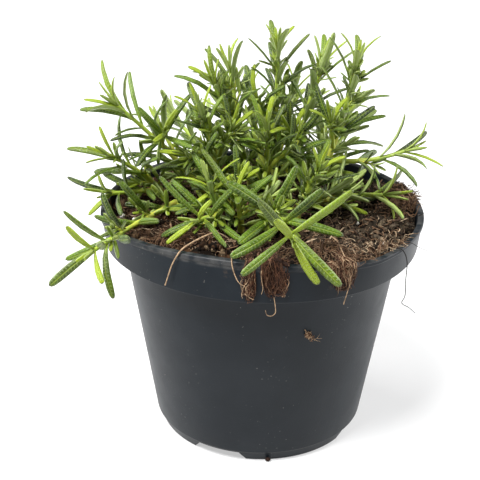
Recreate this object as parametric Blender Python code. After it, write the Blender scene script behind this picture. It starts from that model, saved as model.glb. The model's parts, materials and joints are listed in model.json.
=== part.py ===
"""A young rosemary in a round nursery pot, at real size: metres, +Z up.

The pot stands on z = 0 and the camera side is -Y. Every plant is one rooted stem
with its side shoots and leaves fused to it, and the leaves grow by rule.
"""
import math
import random

import bmesh
import bpy
import numpy as np
from mathutils import Matrix, Vector, noise
from mathutils.bvhtree import BVHTree

MM = 0.001
UP = np.array((0.0, 0.0, 1.0))

# Pot
POT_HEIGHT = 94 * MM
RIM_RADIUS = 65 * MM
LIP_WIDTH = 2.6 * MM
LIP_THICKNESS = 1.3 * MM
LIP_OVERHANG = 0.6 * MM
BAND_HEIGHT = 12 * MM
BAND_FOOT_RADIUS = 63.2 * MM
WALL_TOP_RADIUS = 56.2 * MM
WALL_FOOT_RADIUS = 43.6 * MM
WALL_THICKNESS = 1.2 * MM
RING_HEIGHT = 4.3 * MM
RING_TOP_RADIUS = 42.9 * MM
RING_FOOT_RADIUS = 41.2 * MM
RING_THICKNESS = 1.5 * MM
FLOOR_UNDERSIDE = 3.0 * MM
FLOOR_THICKNESS = 1.5 * MM
EDGE_CHAMFER = 0.5 * MM
POT_SIDES = 44

# Notches in the ring of feet, and drainage holes in the floor
NOTCH_COUNT = 4
NOTCH_FIRST = math.radians(-22)
NOTCH_FOOT = math.radians(35)
NOTCH_HEAD = math.radians(24)
NOTCH_STEPS = 3
NOTCH_ROOF = 0.5 * MM
CUT_OVERRUN = 1 * MM
DRAIN_COUNT = 8
DRAIN_SIDES = 8
DRAIN_CIRCLE = 31 * MM
DRAIN_RADIUS = 3.2 * MM
DRAIN_CENTRE_RADIUS = 4.0 * MM

# The thin rim is pressed in and lifted a little at the front left
PRESS_CENTRE = math.radians(-15)
PRESS_HALF_WIDTH = math.radians(58)
PRESS_IN_TOP = 7 * MM
PRESS_IN_FOOT = 2 * MM
PRESS_LIFT = 2.8 * MM
PRESS_FADE = 25 * MM

# Soil
FIT_GAP = 0.3 * MM
MERGE_DISTANCE = 0.01 * MM
SOIL_EDGE_DROP = 3.6 * MM
SOIL_RINGS = (1.0, 0.93, 0.82, 0.69, 0.54, 0.36)
SOIL_ROUGHNESS = 1.3 * MM
SOIL_GRAIN = 11 * MM
SOIL_FINE_SHARE = 0.6
SOIL_FINE_SCALE = 2.3
HOLE_SIDES = 6
HOLE_RISE = 6 * MM
# heaps and hollows in millimetres: x, y, radius, height
SOIL_HEAPS = (
    (56, 16, 16, 6.0),
    (-20, -44, 24, 4.5),
    (26, -46, 20, 3.5),
    (0, 10, 34, 3.5),
    (-56, 2, 9, -4.0),
    (52, -22, 12, -2.5),
)

# Stems
ROOT_DEPTH = 9 * MM
ROOT_SHOW = 2.5 * MM
ROOT_RISE = 1.2
STEM_SIDES = 4
STEM_STEPS = 6
SIDE_STEPS = 4
STEM_RADIUS = 1.25 * MM
SIDE_RADIUS = 0.95 * MM
TIP_RADIUS = 0.6 * MM

# Leaves
LEAF_WIDTH = 3.0 * MM
LEAF_THICKNESS = 1.15 * MM
LEAF_STATIONS = (0.0, 0.42, 0.88, 1.0)
LEAF_WIDTHS = (0.5, 1.0, 0.8, 0.2)
LEAF_EDGE = 0.55 * MM
LEAF_ROOT = 0.6
TIP_LEAF_SHARE = 0.7
TIP_SPACING = 3.6 * MM
BARE_FOOT = 11 * MM
BARE_SHARE = 0.3
BARE_SIDE = 5 * MM
SPREAD_LOW = math.radians(62)
LEAF_TURN_SPREAD = 12
LEAF_OPEN_SPREAD = 9
LEAF_LENGTHS = (0.82, 1.1)
LEAF_BENDS = (0.05, 0.28)
CLEARANCE = 0.4 * MM
SOIL_CLEARANCE = 1.3 * MM
NEAR = 4 * MM
SEED = 13

# A leaf with no room is turned this far, by turns to either side, and shortened
TRIES = 14
TRY_TURN = math.radians(7)
TRY_SHORTER = 0.02

# Root tufts over the rim: angle round the pot from the front, strands, how far they hang,
# how wide they spread and how far they stand off the rim
TUFTS = {
    "root_tuft_left": dict(angle=-4, strands=3, hang=13, width=3, off=1.5),
    "root_tuft_middle": dict(angle=5, strands=4, hang=14, width=7, off=1.5),
    "root_tuft_right": dict(angle=28, strands=3, hang=14, width=6, off=2.3),
}
TUFT_RADIUS = 57 * MM
TUFT_CLOD = 2.6 * MM
STRAND_RADIUS = 1.1 * MM
STRAND_TIP_RADIUS = 0.4 * MM
STRAND_SIDES = 3
STRAND_RISE = 0.3 * MM
STRAND_SWAY = 0.8 * MM
STRAND_HANGS = (0.6, 1.0)
STRAND_SEED = 5

# Perlite grains on the soil in millimetres: x, y, radius
GRAINS = (
    (-56, -6, 1.4),
    (-51, -10, 1.0),
    (47, -27, 1.0),
    (38, -10, 0.9),
    (-30, 48, 1.3),
)
GRAIN_SEED = 3
PEBBLE_ROUGHNESS = (0.75, 1.0)
DROP_HEIGHT = 8 * MM


def shoot(heading, lean, length, arch=0, turn=0, opening=27, spacing=8, leaves=21, girth=1.0,
          root=None, at=None):
    """One shoot, in degrees and millimetres.

    It starts at its root on the soil (x, y), or at a fraction of the rooted stem.
    heading: 0 is to the right, 90 to the back. lean: from upright. arch: how far
    its middle bows up. turn: of its last pair of leaves. opening: that pair's angle
    from the stem. spacing: from pair to pair, closer at the tip. leaves: their length.
    girth: their width as a share of LEAF_WIDTH.
    """
    return dict(heading=heading, lean=lean, length=length, arch=arch, turn=turn, opening=opening,
                spacing=spacing, leaves=leaves, girth=girth, root=root, at=at)


PLANTS = {
    "stem_left_low": (
        shoot(245, 84, 65, arch=3, turn=80, opening=50, spacing=14, leaves=22, girth=1.2,
              root=(-34, 8)),
    ),
    "stem_left_middle": (
        shoot(215, 46, 31, arch=3, turn=70, opening=35, spacing=11, leaves=23, root=(-42, 18)),
        shoot(232, 76, 29, turn=25, opening=40, spacing=13, leaves=20, at=0.3),
    ),
    "stem_left_high": (
        shoot(200, 40, 55, arch=3, opening=35, spacing=11, leaves=23, root=(-25, 20)),
        shoot(140, 35, 15, arch=1, turn=50, at=0.45),
        shoot(280, 50, 15, arch=1, turn=80, at=0.6),
    ),
    "stem_centre_left": (
        shoot(200, 15, 40, arch=1, turn=40, root=(-15, 10)),
        shoot(220, 50, 20, arch=2, turn=10, at=0.4),
        shoot(310, 30, 18, arch=1, turn=55, at=0.55),
    ),
    "stem_top_left": (
        shoot(210, 20, 50, arch=4, root=(-5, 20)),
        shoot(140, 10, 28, arch=1, turn=60, at=0.55),
        shoot(120, 45, 20, arch=2, turn=20, at=0.4),
    ),
    "stem_top": (
        shoot(270, 5, 60, arch=1, turn=30, root=(5, 25)),
        shoot(225, 35, 20, arch=-1, turn=80, at=0.5),
        shoot(50, 30, 20, arch=-1, turn=10, at=0.45),
    ),
    "stem_top_right": (
        shoot(30, 15, 55, arch=2, turn=10, root=(10, 15)),
        shoot(260, 40, 20, arch=2, turn=60, at=0.4),
    ),
    "stem_right_high": (
        shoot(0, 15, 60, arch=-3, turn=15, root=(20, 10)),
        shoot(260, 30, 15, turn=45, at=0.5),
        shoot(355, 80, 31, arch=-4, turn=5, opening=40, spacing=13, leaves=23, at=0.42),
    ),
    "stem_right_low": (
        shoot(355, 75, 35, arch=4, turn=10, opening=60, spacing=16, leaves=23, girth=1.1,
              root=(15, 2)),
    ),
    "stem_front_left": (
        shoot(245, 62, 24, arch=4, turn=35, opening=62, leaves=22, root=(-15, -18)),
        shoot(150, 15, 14, arch=1, turn=20, opening=60, leaves=22, at=0.5),
    ),
    "stem_middle_left": (
        shoot(240, 42, 22, arch=3, turn=30, opening=65, leaves=22, root=(-12, -5)),
        shoot(290, 35, 20, arch=1, turn=40, at=0.4),
    ),
    "stem_front": (
        shoot(282, 73, 50, arch=9, turn=28, opening=70, spacing=15, leaves=26, girth=1.3,
              root=(1, -15)),
    ),
    "stem_front_high": (
        shoot(255, 25, 20, arch=2, turn=50, leaves=22, root=(-8, -22)),
        shoot(20, 60, 14, arch=2, opening=45, at=0.5),
    ),
    "stem_centre": (
        shoot(260, 10, 35, arch=2, turn=70, root=(2, 2)),
        shoot(130, 30, 20, turn=30, at=0.5),
        shoot(330, 40, 18, arch=1, turn=15, at=0.55),
    ),
    "stem_centre_right": (
        shoot(325, 20, 25, arch=2, turn=20, root=(14, -8)),
        shoot(25, 70, 20, arch=2, turn=60, at=0.4),
    ),
    "stem_back": (
        shoot(135, 15, 35, arch=2, turn=15, root=(0, 40)),
        shoot(30, 40, 20, arch=1, turn=75, at=0.5),
    ),
    "stem_back_left": (
        shoot(145, 45, 30, arch=3, turn=55, root=(-20, 38)),
        shoot(100, 55, 20, arch=3, at=0.4),
    ),
    "stem_back_right": (
        shoot(30, 30, 35, arch=2, turn=35, root=(22, 34)),
        shoot(55, 65, 25, arch=2, at=0.35),
        shoot(85, 60, 22, arch=2, at=0.45),
    ),
}


def unit(vector):
    return vector / max(np.linalg.norm(vector), 1e-9)


def clear_scene():
    for thing in list(bpy.data.objects):
        bpy.data.objects.remove(thing, do_unlink=True)


def make_material(name, colour, roughness, metallic=0.0):
    material = bpy.data.materials.new(name)
    material.use_nodes = True
    shader = material.node_tree.nodes["Principled BSDF"]
    shader.inputs["Base Color"].default_value = (*colour, 1.0)
    shader.inputs["Roughness"].default_value = roughness
    shader.inputs["Metallic"].default_value = metallic
    return material


def new_collection(name):
    collection = bpy.data.collections.new(name)
    bpy.context.scene.collection.children.link(collection)
    return collection


def add_object(name, bm, material, collection=None):
    bmesh.ops.recalc_face_normals(bm, faces=bm.faces)
    mesh = bpy.data.meshes.new(name)
    bm.to_mesh(mesh)
    bm.free()
    mesh.materials.append(material)
    thing = bpy.data.objects.new(name, mesh)
    (collection or bpy.context.scene.collection).objects.link(thing)
    return thing


def add_cutter(name, bm, collection, material):
    cutter = add_object(name, bm, material, collection)
    cutter.hide_render = True
    cutter.display_type = "WIRE"


def apply_boolean(thing, collection, operation, solver="EXACT"):
    """Joins a collection to an object, or cuts it away, and removes the collection."""
    modifier = thing.modifiers.new(operation.title(), "BOOLEAN")
    modifier.operation = operation
    modifier.operand_type = "COLLECTION"
    modifier.collection = collection
    modifier.solver = solver
    bpy.context.view_layer.update()
    evaluated = thing.evaluated_get(bpy.context.evaluated_depsgraph_get())
    mesh = bpy.data.meshes.new_from_object(evaluated)
    thing.modifiers.clear()
    thing.data = mesh
    for other in list(collection.objects):
        bpy.data.objects.remove(other, do_unlink=True)
    bpy.data.collections.remove(collection)


def keep_outer_shell(thing):
    """Fills a hollow that fusing has sealed and drops a loose scrap."""
    bm = bmesh.new()
    bm.from_mesh(thing.data)
    unseen, shells = set(bm.faces), []
    while unseen:
        shell, waiting = [], [unseen.pop()]
        while waiting:
            face = waiting.pop()
            shell.append(face)
            for edge in face.edges:
                for other in edge.link_faces:
                    if other in unseen:
                        unseen.remove(other)
                        waiting.append(other)
        shells.append(shell)
    shells.sort(key=len, reverse=True)
    extra = [face for shell in shells[1:] for face in shell]
    bmesh.ops.delete(bm, geom=extra, context="FACES")
    bm.to_mesh(thing.data)
    bm.free()


def press_share(x, y):
    """How much of the rim's dent is felt at this angle round the pot, 0 to 1."""
    across = (math.atan2(x, -y) - PRESS_CENTRE) / PRESS_HALF_WIDTH
    return (1 - across * across) ** 1.5 if abs(across) < 1 else 0.0


def pressed(x, y, z):
    """Where a point of the round pot lies once its rim is pressed at the front left."""
    radius = math.hypot(x, y)
    share = press_share(x, y)
    if share == 0 or radius < 1e-6:
        return x, y, z
    band_foot = POT_HEIGHT - BAND_HEIGHT
    up_band = min(max((z - band_foot) / BAND_HEIGHT, 0.0), 1.0)
    below = min(max((band_foot - z) / PRESS_FADE, 0.0), 1.0)
    inward = PRESS_IN_FOOT * (1 - below) ** 2 + (PRESS_IN_TOP - PRESS_IN_FOOT) * up_band
    near_wall = min(max((radius / RIM_RADIUS - 0.4) / 0.4, 0.0), 1.0)
    scale = 1 - share * inward * near_wall / radius
    return x * scale, y * scale, z + share * PRESS_LIFT * up_band * near_wall


def turned(profile):
    """A body of revolution from a profile of radius and height, from axis to axis."""
    bm = bmesh.new()
    verts = [bm.verts.new((radius, 0, height)) for radius, height in profile]
    edges = [bm.edges.new(pair) for pair in zip(verts, verts[1:])]
    bmesh.ops.spin(bm, geom=verts + edges, cent=(0, 0, 0), axis=(0, 0, 1),
                   angle=math.tau, steps=POT_SIDES, use_merge=True)
    bmesh.ops.remove_doubles(bm, verts=bm.verts, dist=MERGE_DISTANCE)
    return bm


def press(bm):
    for vert in bm.verts:
        vert.co = pressed(*vert.co)


def notch_cutter(angle):
    """A curved block through the ring, wider at the foot than at its roof."""
    inner, outer = RING_FOOT_RADIUS - 3 * RING_THICKNESS, WALL_FOOT_RADIUS + CUT_OVERRUN
    low, high = -CUT_OVERRUN, RING_HEIGHT - NOTCH_ROOF
    corners = ((inner, low, NOTCH_FOOT), (outer, low, NOTCH_FOOT),
               (outer, high, NOTCH_HEAD), (inner, high, NOTCH_HEAD))
    bm = bmesh.new()
    rings = []
    for i in range(NOTCH_STEPS + 1):
        ring = []
        for radius, height, width in corners:
            a = angle + width * (i / NOTCH_STEPS - 0.5)
            ring.append(bm.verts.new((radius * math.sin(a), -radius * math.cos(a), height)))
        rings.append(ring)
    for one, two in zip(rings, rings[1:]):
        for k in range(4):
            bm.faces.new((one[k], one[(k + 1) % 4], two[(k + 1) % 4], two[k]))
    bm.faces.new(rings[0])
    bm.faces.new(rings[-1])
    return bm


def pin_cutter(foot, head, radius, sides):
    """A closed cylinder between two points."""
    bm = bmesh.new()
    foot, head = Vector(foot), Vector(head)
    turn = (head - foot).to_track_quat("Z", "Y").to_matrix().to_4x4()
    bmesh.ops.create_cone(bm, cap_ends=True, segments=sides, radius1=radius, radius2=radius,
                          depth=(head - foot).length,
                          matrix=Matrix.Translation((foot + head) / 2) @ turn)
    return bm


def build_pot(material):
    band_foot = POT_HEIGHT - BAND_HEIGHT
    lip_under = POT_HEIGHT - LIP_THICKNESS
    floor_top = FLOOR_UNDERSIDE + FLOOR_THICKNESS
    profile = (
        (0, FLOOR_UNDERSIDE),
        (RING_FOOT_RADIUS - RING_THICKNESS, FLOOR_UNDERSIDE),
        (RING_FOOT_RADIUS - RING_THICKNESS, 0),
        (RING_FOOT_RADIUS, 0),
        (RING_TOP_RADIUS, RING_HEIGHT),
        (WALL_FOOT_RADIUS, RING_HEIGHT + EDGE_CHAMFER),
        (WALL_TOP_RADIUS, band_foot),
        (BAND_FOOT_RADIUS, band_foot),
        (RIM_RADIUS - LIP_OVERHANG, lip_under - EDGE_CHAMFER),
        (RIM_RADIUS, lip_under),
        (RIM_RADIUS, POT_HEIGHT - EDGE_CHAMFER),
        (RIM_RADIUS - EDGE_CHAMFER, POT_HEIGHT),
        (RIM_RADIUS - LIP_WIDTH, POT_HEIGHT),
        (RIM_RADIUS - LIP_WIDTH, lip_under),
        (BAND_FOOT_RADIUS - WALL_THICKNESS, band_foot + WALL_THICKNESS),
        (WALL_TOP_RADIUS - WALL_THICKNESS, band_foot + WALL_THICKNESS),
        (WALL_FOOT_RADIUS - WALL_THICKNESS, floor_top),
        (0, floor_top),
    )
    bm = turned(profile)
    press(bm)
    pot = add_object("pot", bm, material)
    cuts = new_collection("pot cuts")
    for i in range(NOTCH_COUNT):
        angle = NOTCH_FIRST + i * math.tau / NOTCH_COUNT
        add_cutter(f"notch {i}", notch_cutter(angle), cuts, material)
    low, high = FLOOR_UNDERSIDE - CUT_OVERRUN, floor_top + CUT_OVERRUN
    holes = [(0, 0, DRAIN_CENTRE_RADIUS)]
    for i in range(DRAIN_COUNT):
        angle = (i + 0.5) * math.tau / DRAIN_COUNT
        holes.append((DRAIN_CIRCLE * math.cos(angle), DRAIN_CIRCLE * math.sin(angle), DRAIN_RADIUS))
    for i, (x, y, radius) in enumerate(holes):
        bm = pin_cutter((x, y, low), (x, y, high), radius, DRAIN_SIDES)
        add_cutter(f"drain {i}", bm, cuts, material)
    apply_boolean(pot, cuts, "DIFFERENCE")
    return pot


def soil_height(x, y):
    """Height of the soil's top: level near the rim, with heaps, hollows and a rough crumb."""
    height = POT_HEIGHT - SOIL_EDGE_DROP
    for hx, hy, radius, rise in SOIL_HEAPS:
        away = math.hypot(x - hx * MM, y - hy * MM) / (radius * MM)
        if away < 1:
            height += rise * MM * (1 - away * away) ** 2
    place = Vector((x, y, 0)) / SOIL_GRAIN
    rough = noise.noise(place) + SOIL_FINE_SHARE * noise.noise(place * SOIL_FINE_SCALE)
    return height + SOIL_ROUGHNESS * rough


def build_soil(material, rooted):
    """The peat that fills the pot, with a plain hole for each rooted stem."""
    band_foot = POT_HEIGHT - BAND_HEIGHT
    floor_top = FLOOR_UNDERSIDE + FLOOR_THICKNESS
    level = POT_HEIGHT - SOIL_EDGE_DROP
    slack = WALL_THICKNESS + 1.3 * FIT_GAP
    edge = BAND_FOOT_RADIUS - slack
    profile = [
        (0, floor_top + FIT_GAP),
        (WALL_FOOT_RADIUS - slack, floor_top + FIT_GAP),
        (WALL_TOP_RADIUS - slack, band_foot + WALL_THICKNESS + FIT_GAP),
        (edge - FIT_GAP, band_foot + WALL_THICKNESS + FIT_GAP),
    ]
    profile += [(edge * share, level) for share in SOIL_RINGS]
    profile.append((0, level))
    bm = turned(profile)
    for vert in bm.verts:
        if vert.co.z > level - MERGE_DISTANCE:
            vert.co.z = soil_height(vert.co.x, vert.co.y)
    press(bm)
    bmesh.ops.triangulate(bm, faces=bm.faces)
    soil = add_object("soil", bm, material)
    holes = new_collection("stem holes")
    radius = (STEM_RADIUS + FIT_GAP) / math.cos(math.pi / HOLE_SIDES)
    for i, (deep, out) in enumerate(rooted):
        along = unit(out - deep)
        foot, head = deep - along * FIT_GAP, out + along * HOLE_RISE
        add_cutter(f"hole {i}", pin_cutter(foot, head, radius, HOLE_SIDES), holes, material)
    apply_boolean(soil, holes, "DIFFERENCE")
    return soil


def ground(point):
    """Height of what lies under a point: soil, the pot's lip, or the table."""
    x, y = point[0], point[1]
    radius = math.hypot(x, y)
    share = press_share(x, y)
    rim = RIM_RADIUS - share * PRESS_IN_TOP
    if radius > rim + 1 * MM:
        return 0.0
    if radius > rim - LIP_WIDTH - 1 * MM:
        return POT_HEIGHT + share * PRESS_LIFT
    return soil_height(x, y) + share * PRESS_LIFT


def curve_point(start, middle, end, t):
    return (1 - t) ** 2 * start + 2 * t * (1 - t) * middle + t * t * end


def lengths_along(points):
    steps = np.linalg.norm(np.diff(points, axis=0), axis=1)
    return np.concatenate(([0.0], np.cumsum(steps)))


def place_on(points, along, distance):
    """The point and the direction of a path at a distance from its start."""
    i = min(max(int(np.searchsorted(along, distance)) - 1, 0), len(points) - 2)
    share = (distance - along[i]) / (along[i + 1] - along[i])
    return points[i] + share * (points[i + 1] - points[i]), unit(points[i + 1] - points[i])


def stem_path(entry, parent):
    """The points of a shoot. A rooted stem first stands straight in its hole."""
    heading, lean = math.radians(entry["heading"]), math.radians(entry["lean"])
    flat = np.array((math.cos(heading), math.sin(heading), 0.0))
    chord = flat * math.sin(lean) + UP * math.cos(lean)
    bow = UP * math.sin(lean) - flat * math.cos(lean)
    if entry["root"]:
        x, y = (value * MM for value in entry["root"])
        start = np.array((x, y, ground((x, y))))
    else:
        along = lengths_along(parent)
        start, _ = place_on(parent, along, entry["at"] * along[-1])
    tip = start + chord * entry["length"] * MM
    middle = (start + tip) / 2 + bow * entry["arch"] * MM
    feet = []
    if entry["root"]:
        first = unit(middle - start)
        first = unit(np.array((first[0], first[1], max(first[2], 0) + ROOT_RISE)))
        feet = [start - first * ROOT_DEPTH]
        start = start + first * ROOT_SHOW
    steps = STEM_STEPS if entry["root"] else SIDE_STEPS
    points = [curve_point(start, middle, tip, t) for t in np.linspace(0, 1, steps)]
    for point in points[1:]:
        point[2] = max(point[2], ground(point) + SOIL_CLEARANCE + STEM_RADIUS)
    return np.array(feet + points)


def stem_radii(entry, path):
    foot = STEM_RADIUS if entry["root"] else SIDE_RADIUS
    radii = np.linspace(foot, TIP_RADIUS, len(path))
    if entry["root"]:
        radii[1] = foot
    return radii


def segment_gaps(a0, a1, b0, b1):
    """Distances between each segment of one list and each of another."""
    a0, a1, b0, b1 = a0[:, None], a1[:, None], b0[None], b1[None]
    tiny = 1e-18
    u, v, w = a1 - a0, b1 - b0, a0 - b0
    uu, vv, uv = (u * u).sum(-1), (v * v).sum(-1), (u * v).sum(-1)
    uw, vw = (u * w).sum(-1), (v * w).sum(-1)
    s = np.clip((uv * vw - vv * uw) / (uu * vv - uv * uv + tiny), 0, 1)
    t = np.clip((uv * s + vw) / (vv + tiny), 0, 1)
    s = np.clip((uv * t - uw) / (uu + tiny), 0, 1)
    away = w + u * s[..., None] - v * t[..., None]
    return np.sqrt((away * away).sum(-1))


class Space:
    """The rods that stems and leaves take up, to keep one plant clear of another."""

    def __init__(self):
        self.start = np.zeros((0, 3))
        self.end = np.zeros((0, 3))
        self.radius = np.zeros(0)
        self.plant = np.zeros(0, int)

    def add(self, start, end, radius, plant):
        self.start = np.vstack((self.start, start))
        self.end = np.vstack((self.end, end))
        self.radius = np.concatenate((self.radius, radius))
        self.plant = np.concatenate((self.plant, np.full(len(radius), plant)))

    def gap(self, start, end, radius, chosen):
        """Smallest free distance from the given rods to the chosen ones."""
        low = np.minimum(start, end).min(0) - NEAR
        high = np.maximum(start, end).max(0) + NEAR
        near = chosen & (np.maximum(self.start, self.end) > low).all(1)
        near &= (np.minimum(self.start, self.end) < high).all(1)
        if not near.any():
            return 1.0
        gaps = segment_gaps(start, end, self.start[near], self.end[near])
        return float((gaps - radius[:, None] - self.radius[near][None]).min())


def leaf_rows(start, tip, arch, axis, girth):
    """Centre points of a leaf at its stations, the edge vector at each, its upper side."""
    along = unit(tip - start)
    face = unit(axis - along * float(axis @ along))
    middle = (start + tip) / 2 + face * arch
    centres = np.array([curve_point(start, middle, tip, t) for t in LEAF_STATIONS])
    widths = np.array(LEAF_WIDTHS) * girth * LEAF_WIDTH / 2
    return centres, np.cross(along, face)[None] * widths[:, None], face


def leaf_rods(centres, edges):
    """Three thin rods along a leaf, its middle and both edges, root to tip."""
    start, end = [], []
    for side in (-1, 0, 1):
        line = centres + edges * side * 0.8
        start.append(line[:-1])
        end.append(line[1:])
    return np.vstack(start), np.vstack(end)


def above_ground(centres, edges):
    for side in (-1, 0, 1):
        line = centres + edges * side
        for a, b in zip(line, line[1:]):
            for t in (0.35, 0.7, 1.0):
                point = a + (b - a) * t
                if point[2] < ground(point) + SOIL_CLEARANCE:
                    return False
    return True


def pair_places(length, first, step):
    """Distances along a shoot at which pairs of leaves grow, closer together at its tip."""
    places = []
    where = length - 0.5 * MM
    while where > first:
        places.append(where)
        where -= step + (TIP_SPACING - step) * (where / length) ** 2
    return places


def place_leaf(space, index, start, axis, turn, opening, length, bend, root, girth):
    """A leaf that is clear of the soil and of the other plants, turned or shortened to fit."""
    side = unit(np.cross(axis, (0.31, 0.95, 0.1)))
    crossing = None
    for trial in range(TRIES):
        wag = turn + TRY_TURN * ((trial + 1) // 2) * (-1) ** trial
        reach = length * (1 - TRY_SHORTER * trial)
        out = side * math.cos(wag) + np.cross(axis, side) * math.sin(wag)
        heading = axis * math.cos(opening) + out * math.sin(opening)
        tip = start + heading * reach
        centres, edges, face = leaf_rows(start + out * root, tip, bend * reach, axis, girth)
        if not above_ground(centres, edges):
            continue
        rods = leaf_rods(centres, edges)
        radius = np.full(len(rods[0]), LEAF_EDGE)
        if space.gap(*rods, radius, space.plant != index) < CLEARANCE:
            continue
        found = (centres, edges, face), rods, radius
        outer = [i for i in range(len(radius)) if i % 3]
        if space.gap(rods[0][outer], rods[1][outer], radius[outer], space.plant == index) > 0:
            return found
        crossing = crossing or found
    return crossing


def add_pairs(space, leaves, index, entry, path, draw):
    """Opposite pairs of leaves along one shoot, each turned a quarter from the last."""
    along = lengths_along(path)
    radii = stem_radii(entry, path)
    bare = min(BARE_FOOT, BARE_SHARE * entry["length"] * MM)
    first = ROOT_DEPTH + bare if entry["root"] else min(BARE_SIDE, bare)
    for k, where in enumerate(pair_places(along[-1], first, entry["spacing"] * MM)):
        start, axis = place_on(path, along, where)
        share = where / along[-1]
        root = LEAF_ROOT * float(np.interp(where, along, radii))
        spread = SPREAD_LOW + (math.radians(entry["opening"]) - SPREAD_LOW) * share ** 3
        size = entry["leaves"] * MM * (TIP_LEAF_SHARE if k == 0 else 1.0)
        for half in (0, 1):
            sway = draw.uniform(-LEAF_TURN_SPREAD, LEAF_TURN_SPREAD)
            turn = math.radians(entry["turn"] + 90 * k + 180 * half + sway)
            sway = draw.uniform(-LEAF_OPEN_SPREAD, LEAF_OPEN_SPREAD)
            opening = spread + math.radians(sway)
            length = size * draw.uniform(*LEAF_LENGTHS)
            bend = draw.uniform(*LEAF_BENDS)
            found = place_leaf(space, index, start, axis, turn, opening, length, bend, root,
                               entry["girth"])
            if found:
                space.add(*found[1], found[2], index)
                leaves.append(found[0])


def clod_place(tuft):
    angle = math.radians(tuft["angle"])
    x, y, _ = pressed(TUFT_RADIUS * math.sin(angle), -TUFT_RADIUS * math.cos(angle), POT_HEIGHT)
    return np.array((x, y, ground((x, y)) + TUFT_CLOD))


def strand_path(tuft, number, draw):
    """A root that runs from the clod over the lip and hangs in front of the band."""
    across = (number / (tuft["strands"] - 1) - 0.5) * tuft["width"] * MM
    hang = tuft["hang"] * MM * draw.uniform(*STRAND_HANGS)
    off = tuft["off"] * MM
    over = POT_HEIGHT + off + STRAND_RISE
    front = RIM_RADIUS + off
    stations = (
        (RIM_RADIUS - 1.2 * LIP_WIDTH, over + 2 * STRAND_RISE),
        (RIM_RADIUS + 0.4 * off, over),
        (front, POT_HEIGHT - 0.4 * hang),
        (front, POT_HEIGHT - hang),
    )
    points = [clod_place(tuft)]
    for step, (radius, height) in enumerate(stations):
        share = (step + 1) / len(stations)
        sway = across * share + draw.uniform(-STRAND_SWAY, STRAND_SWAY)
        angle = math.radians(tuft["angle"]) + sway / radius
        radius += draw.uniform(0, STRAND_SWAY) * (step > 1)
        flat = radius * math.sin(angle), -radius * math.cos(angle)
        points.append(np.array(pressed(*flat, height)))
    return np.array(points)


def strands(tuft, name):
    """The path and the radii of each root of a tuft."""
    draw = random.Random(f"{STRAND_SEED} {name}")
    paths = [strand_path(tuft, number, draw) for number in range(tuft["strands"])]
    return [(path, np.linspace(STRAND_RADIUS, STRAND_TIP_RADIUS, len(path))) for path in paths]


def grain_place(x, y, radius):
    x, y = x * MM, y * MM
    return np.array((x, y, ground((x, y)) + radius * MM + SOIL_CLEARANCE))


def fill_space_with_loose_things(space):
    """Tufts and grains take their room first, as rods of no plant."""
    for name, tuft in TUFTS.items():
        clod = clod_place(tuft)
        space.add(clod[None], clod[None] + UP * 0.1 * MM, np.array([TUFT_CLOD]), -1)
        for path, radii in strands(tuft, name):
            space.add(path[:-1], path[1:], radii[:-1], -1)
    for x, y, radius in GRAINS:
        place = grain_place(x, y, radius)
        space.add(place[None], place[None] + UP * 0.1 * MM, np.array([radius * MM]), -1)


def grow():
    """Lays out every plant: first all the shoots, then the leaves that fit among them."""
    space = Space()
    fill_space_with_loose_things(space)
    plants = {}
    for index, (name, shoots) in enumerate(PLANTS.items()):
        paths = []
        for entry in shoots:
            path = stem_path(entry, paths[0] if paths else None)
            radii = stem_radii(entry, path)
            gap = space.gap(path[:-1], path[1:], radii[:-1], space.plant != index)
            if gap < CLEARANCE:
                print(f"{name}, shoot {len(paths)}: {gap / MM:.1f} mm from another plant")
            space.add(path[:-1], path[1:], radii[:-1], index)
            paths.append(path)
        plants[name] = dict(paths=paths, leaves=[])
    for index, (name, shoots) in enumerate(PLANTS.items()):
        for number, entry in enumerate(shoots):
            draw = random.Random(f"{SEED} {name} {number}")
            path = plants[name]["paths"][number]
            add_pairs(space, plants[name]["leaves"], index, entry, path, draw)
    return plants


def tube(points, radii, sides=STEM_SIDES):
    """A closed tube along a path."""
    bm = bmesh.new()
    rings = []
    across = unit(np.cross(points[1] - points[0], (0.3, 1.0, 0.2)))
    for i, point in enumerate(points):
        ahead = unit(points[min(i + 1, len(points) - 1)] - points[max(i - 1, 0)])
        across = unit(across - ahead * float(across @ ahead))
        other = np.cross(ahead, across)
        ring = []
        for k in range(sides):
            angle = math.tau * k / sides
            offset = across * math.cos(angle) + other * math.sin(angle)
            ring.append(bm.verts.new(point + offset * radii[i]))
        rings.append(ring)
    for one, two in zip(rings, rings[1:]):
        for k in range(sides):
            after = (k + 1) % sides
            bm.faces.new((one[k], one[after], two[after], two[k]))
    bm.faces.new(rings[0])
    bm.faces.new(rings[-1])
    return bm


def blade(centres, edges, face):
    """A three-sided leaf: flat underside, a ridge along the upper face, a blunt tip."""
    bm = bmesh.new()
    rings = []
    for centre, edge in zip(centres[:-1], edges[:-1]):
        ridge = centre + face * LEAF_THICKNESS * 0.7
        under = centre - face * LEAF_THICKNESS * 0.3
        rings.append([bm.verts.new(corner) for corner in (under - edge, under + edge, ridge)])
    for one, two in zip(rings, rings[1:]):
        for k in range(3):
            bm.faces.new((one[k], one[(k + 1) % 3], two[(k + 1) % 3], two[k]))
    point = bm.verts.new(centres[-1])
    for k in range(3):
        bm.faces.new((rings[-1][k], rings[-1][(k + 1) % 3], point))
    bm.faces.new(rings[0])
    bmesh.ops.triangulate(bm, faces=bm.faces)
    return bm


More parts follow.
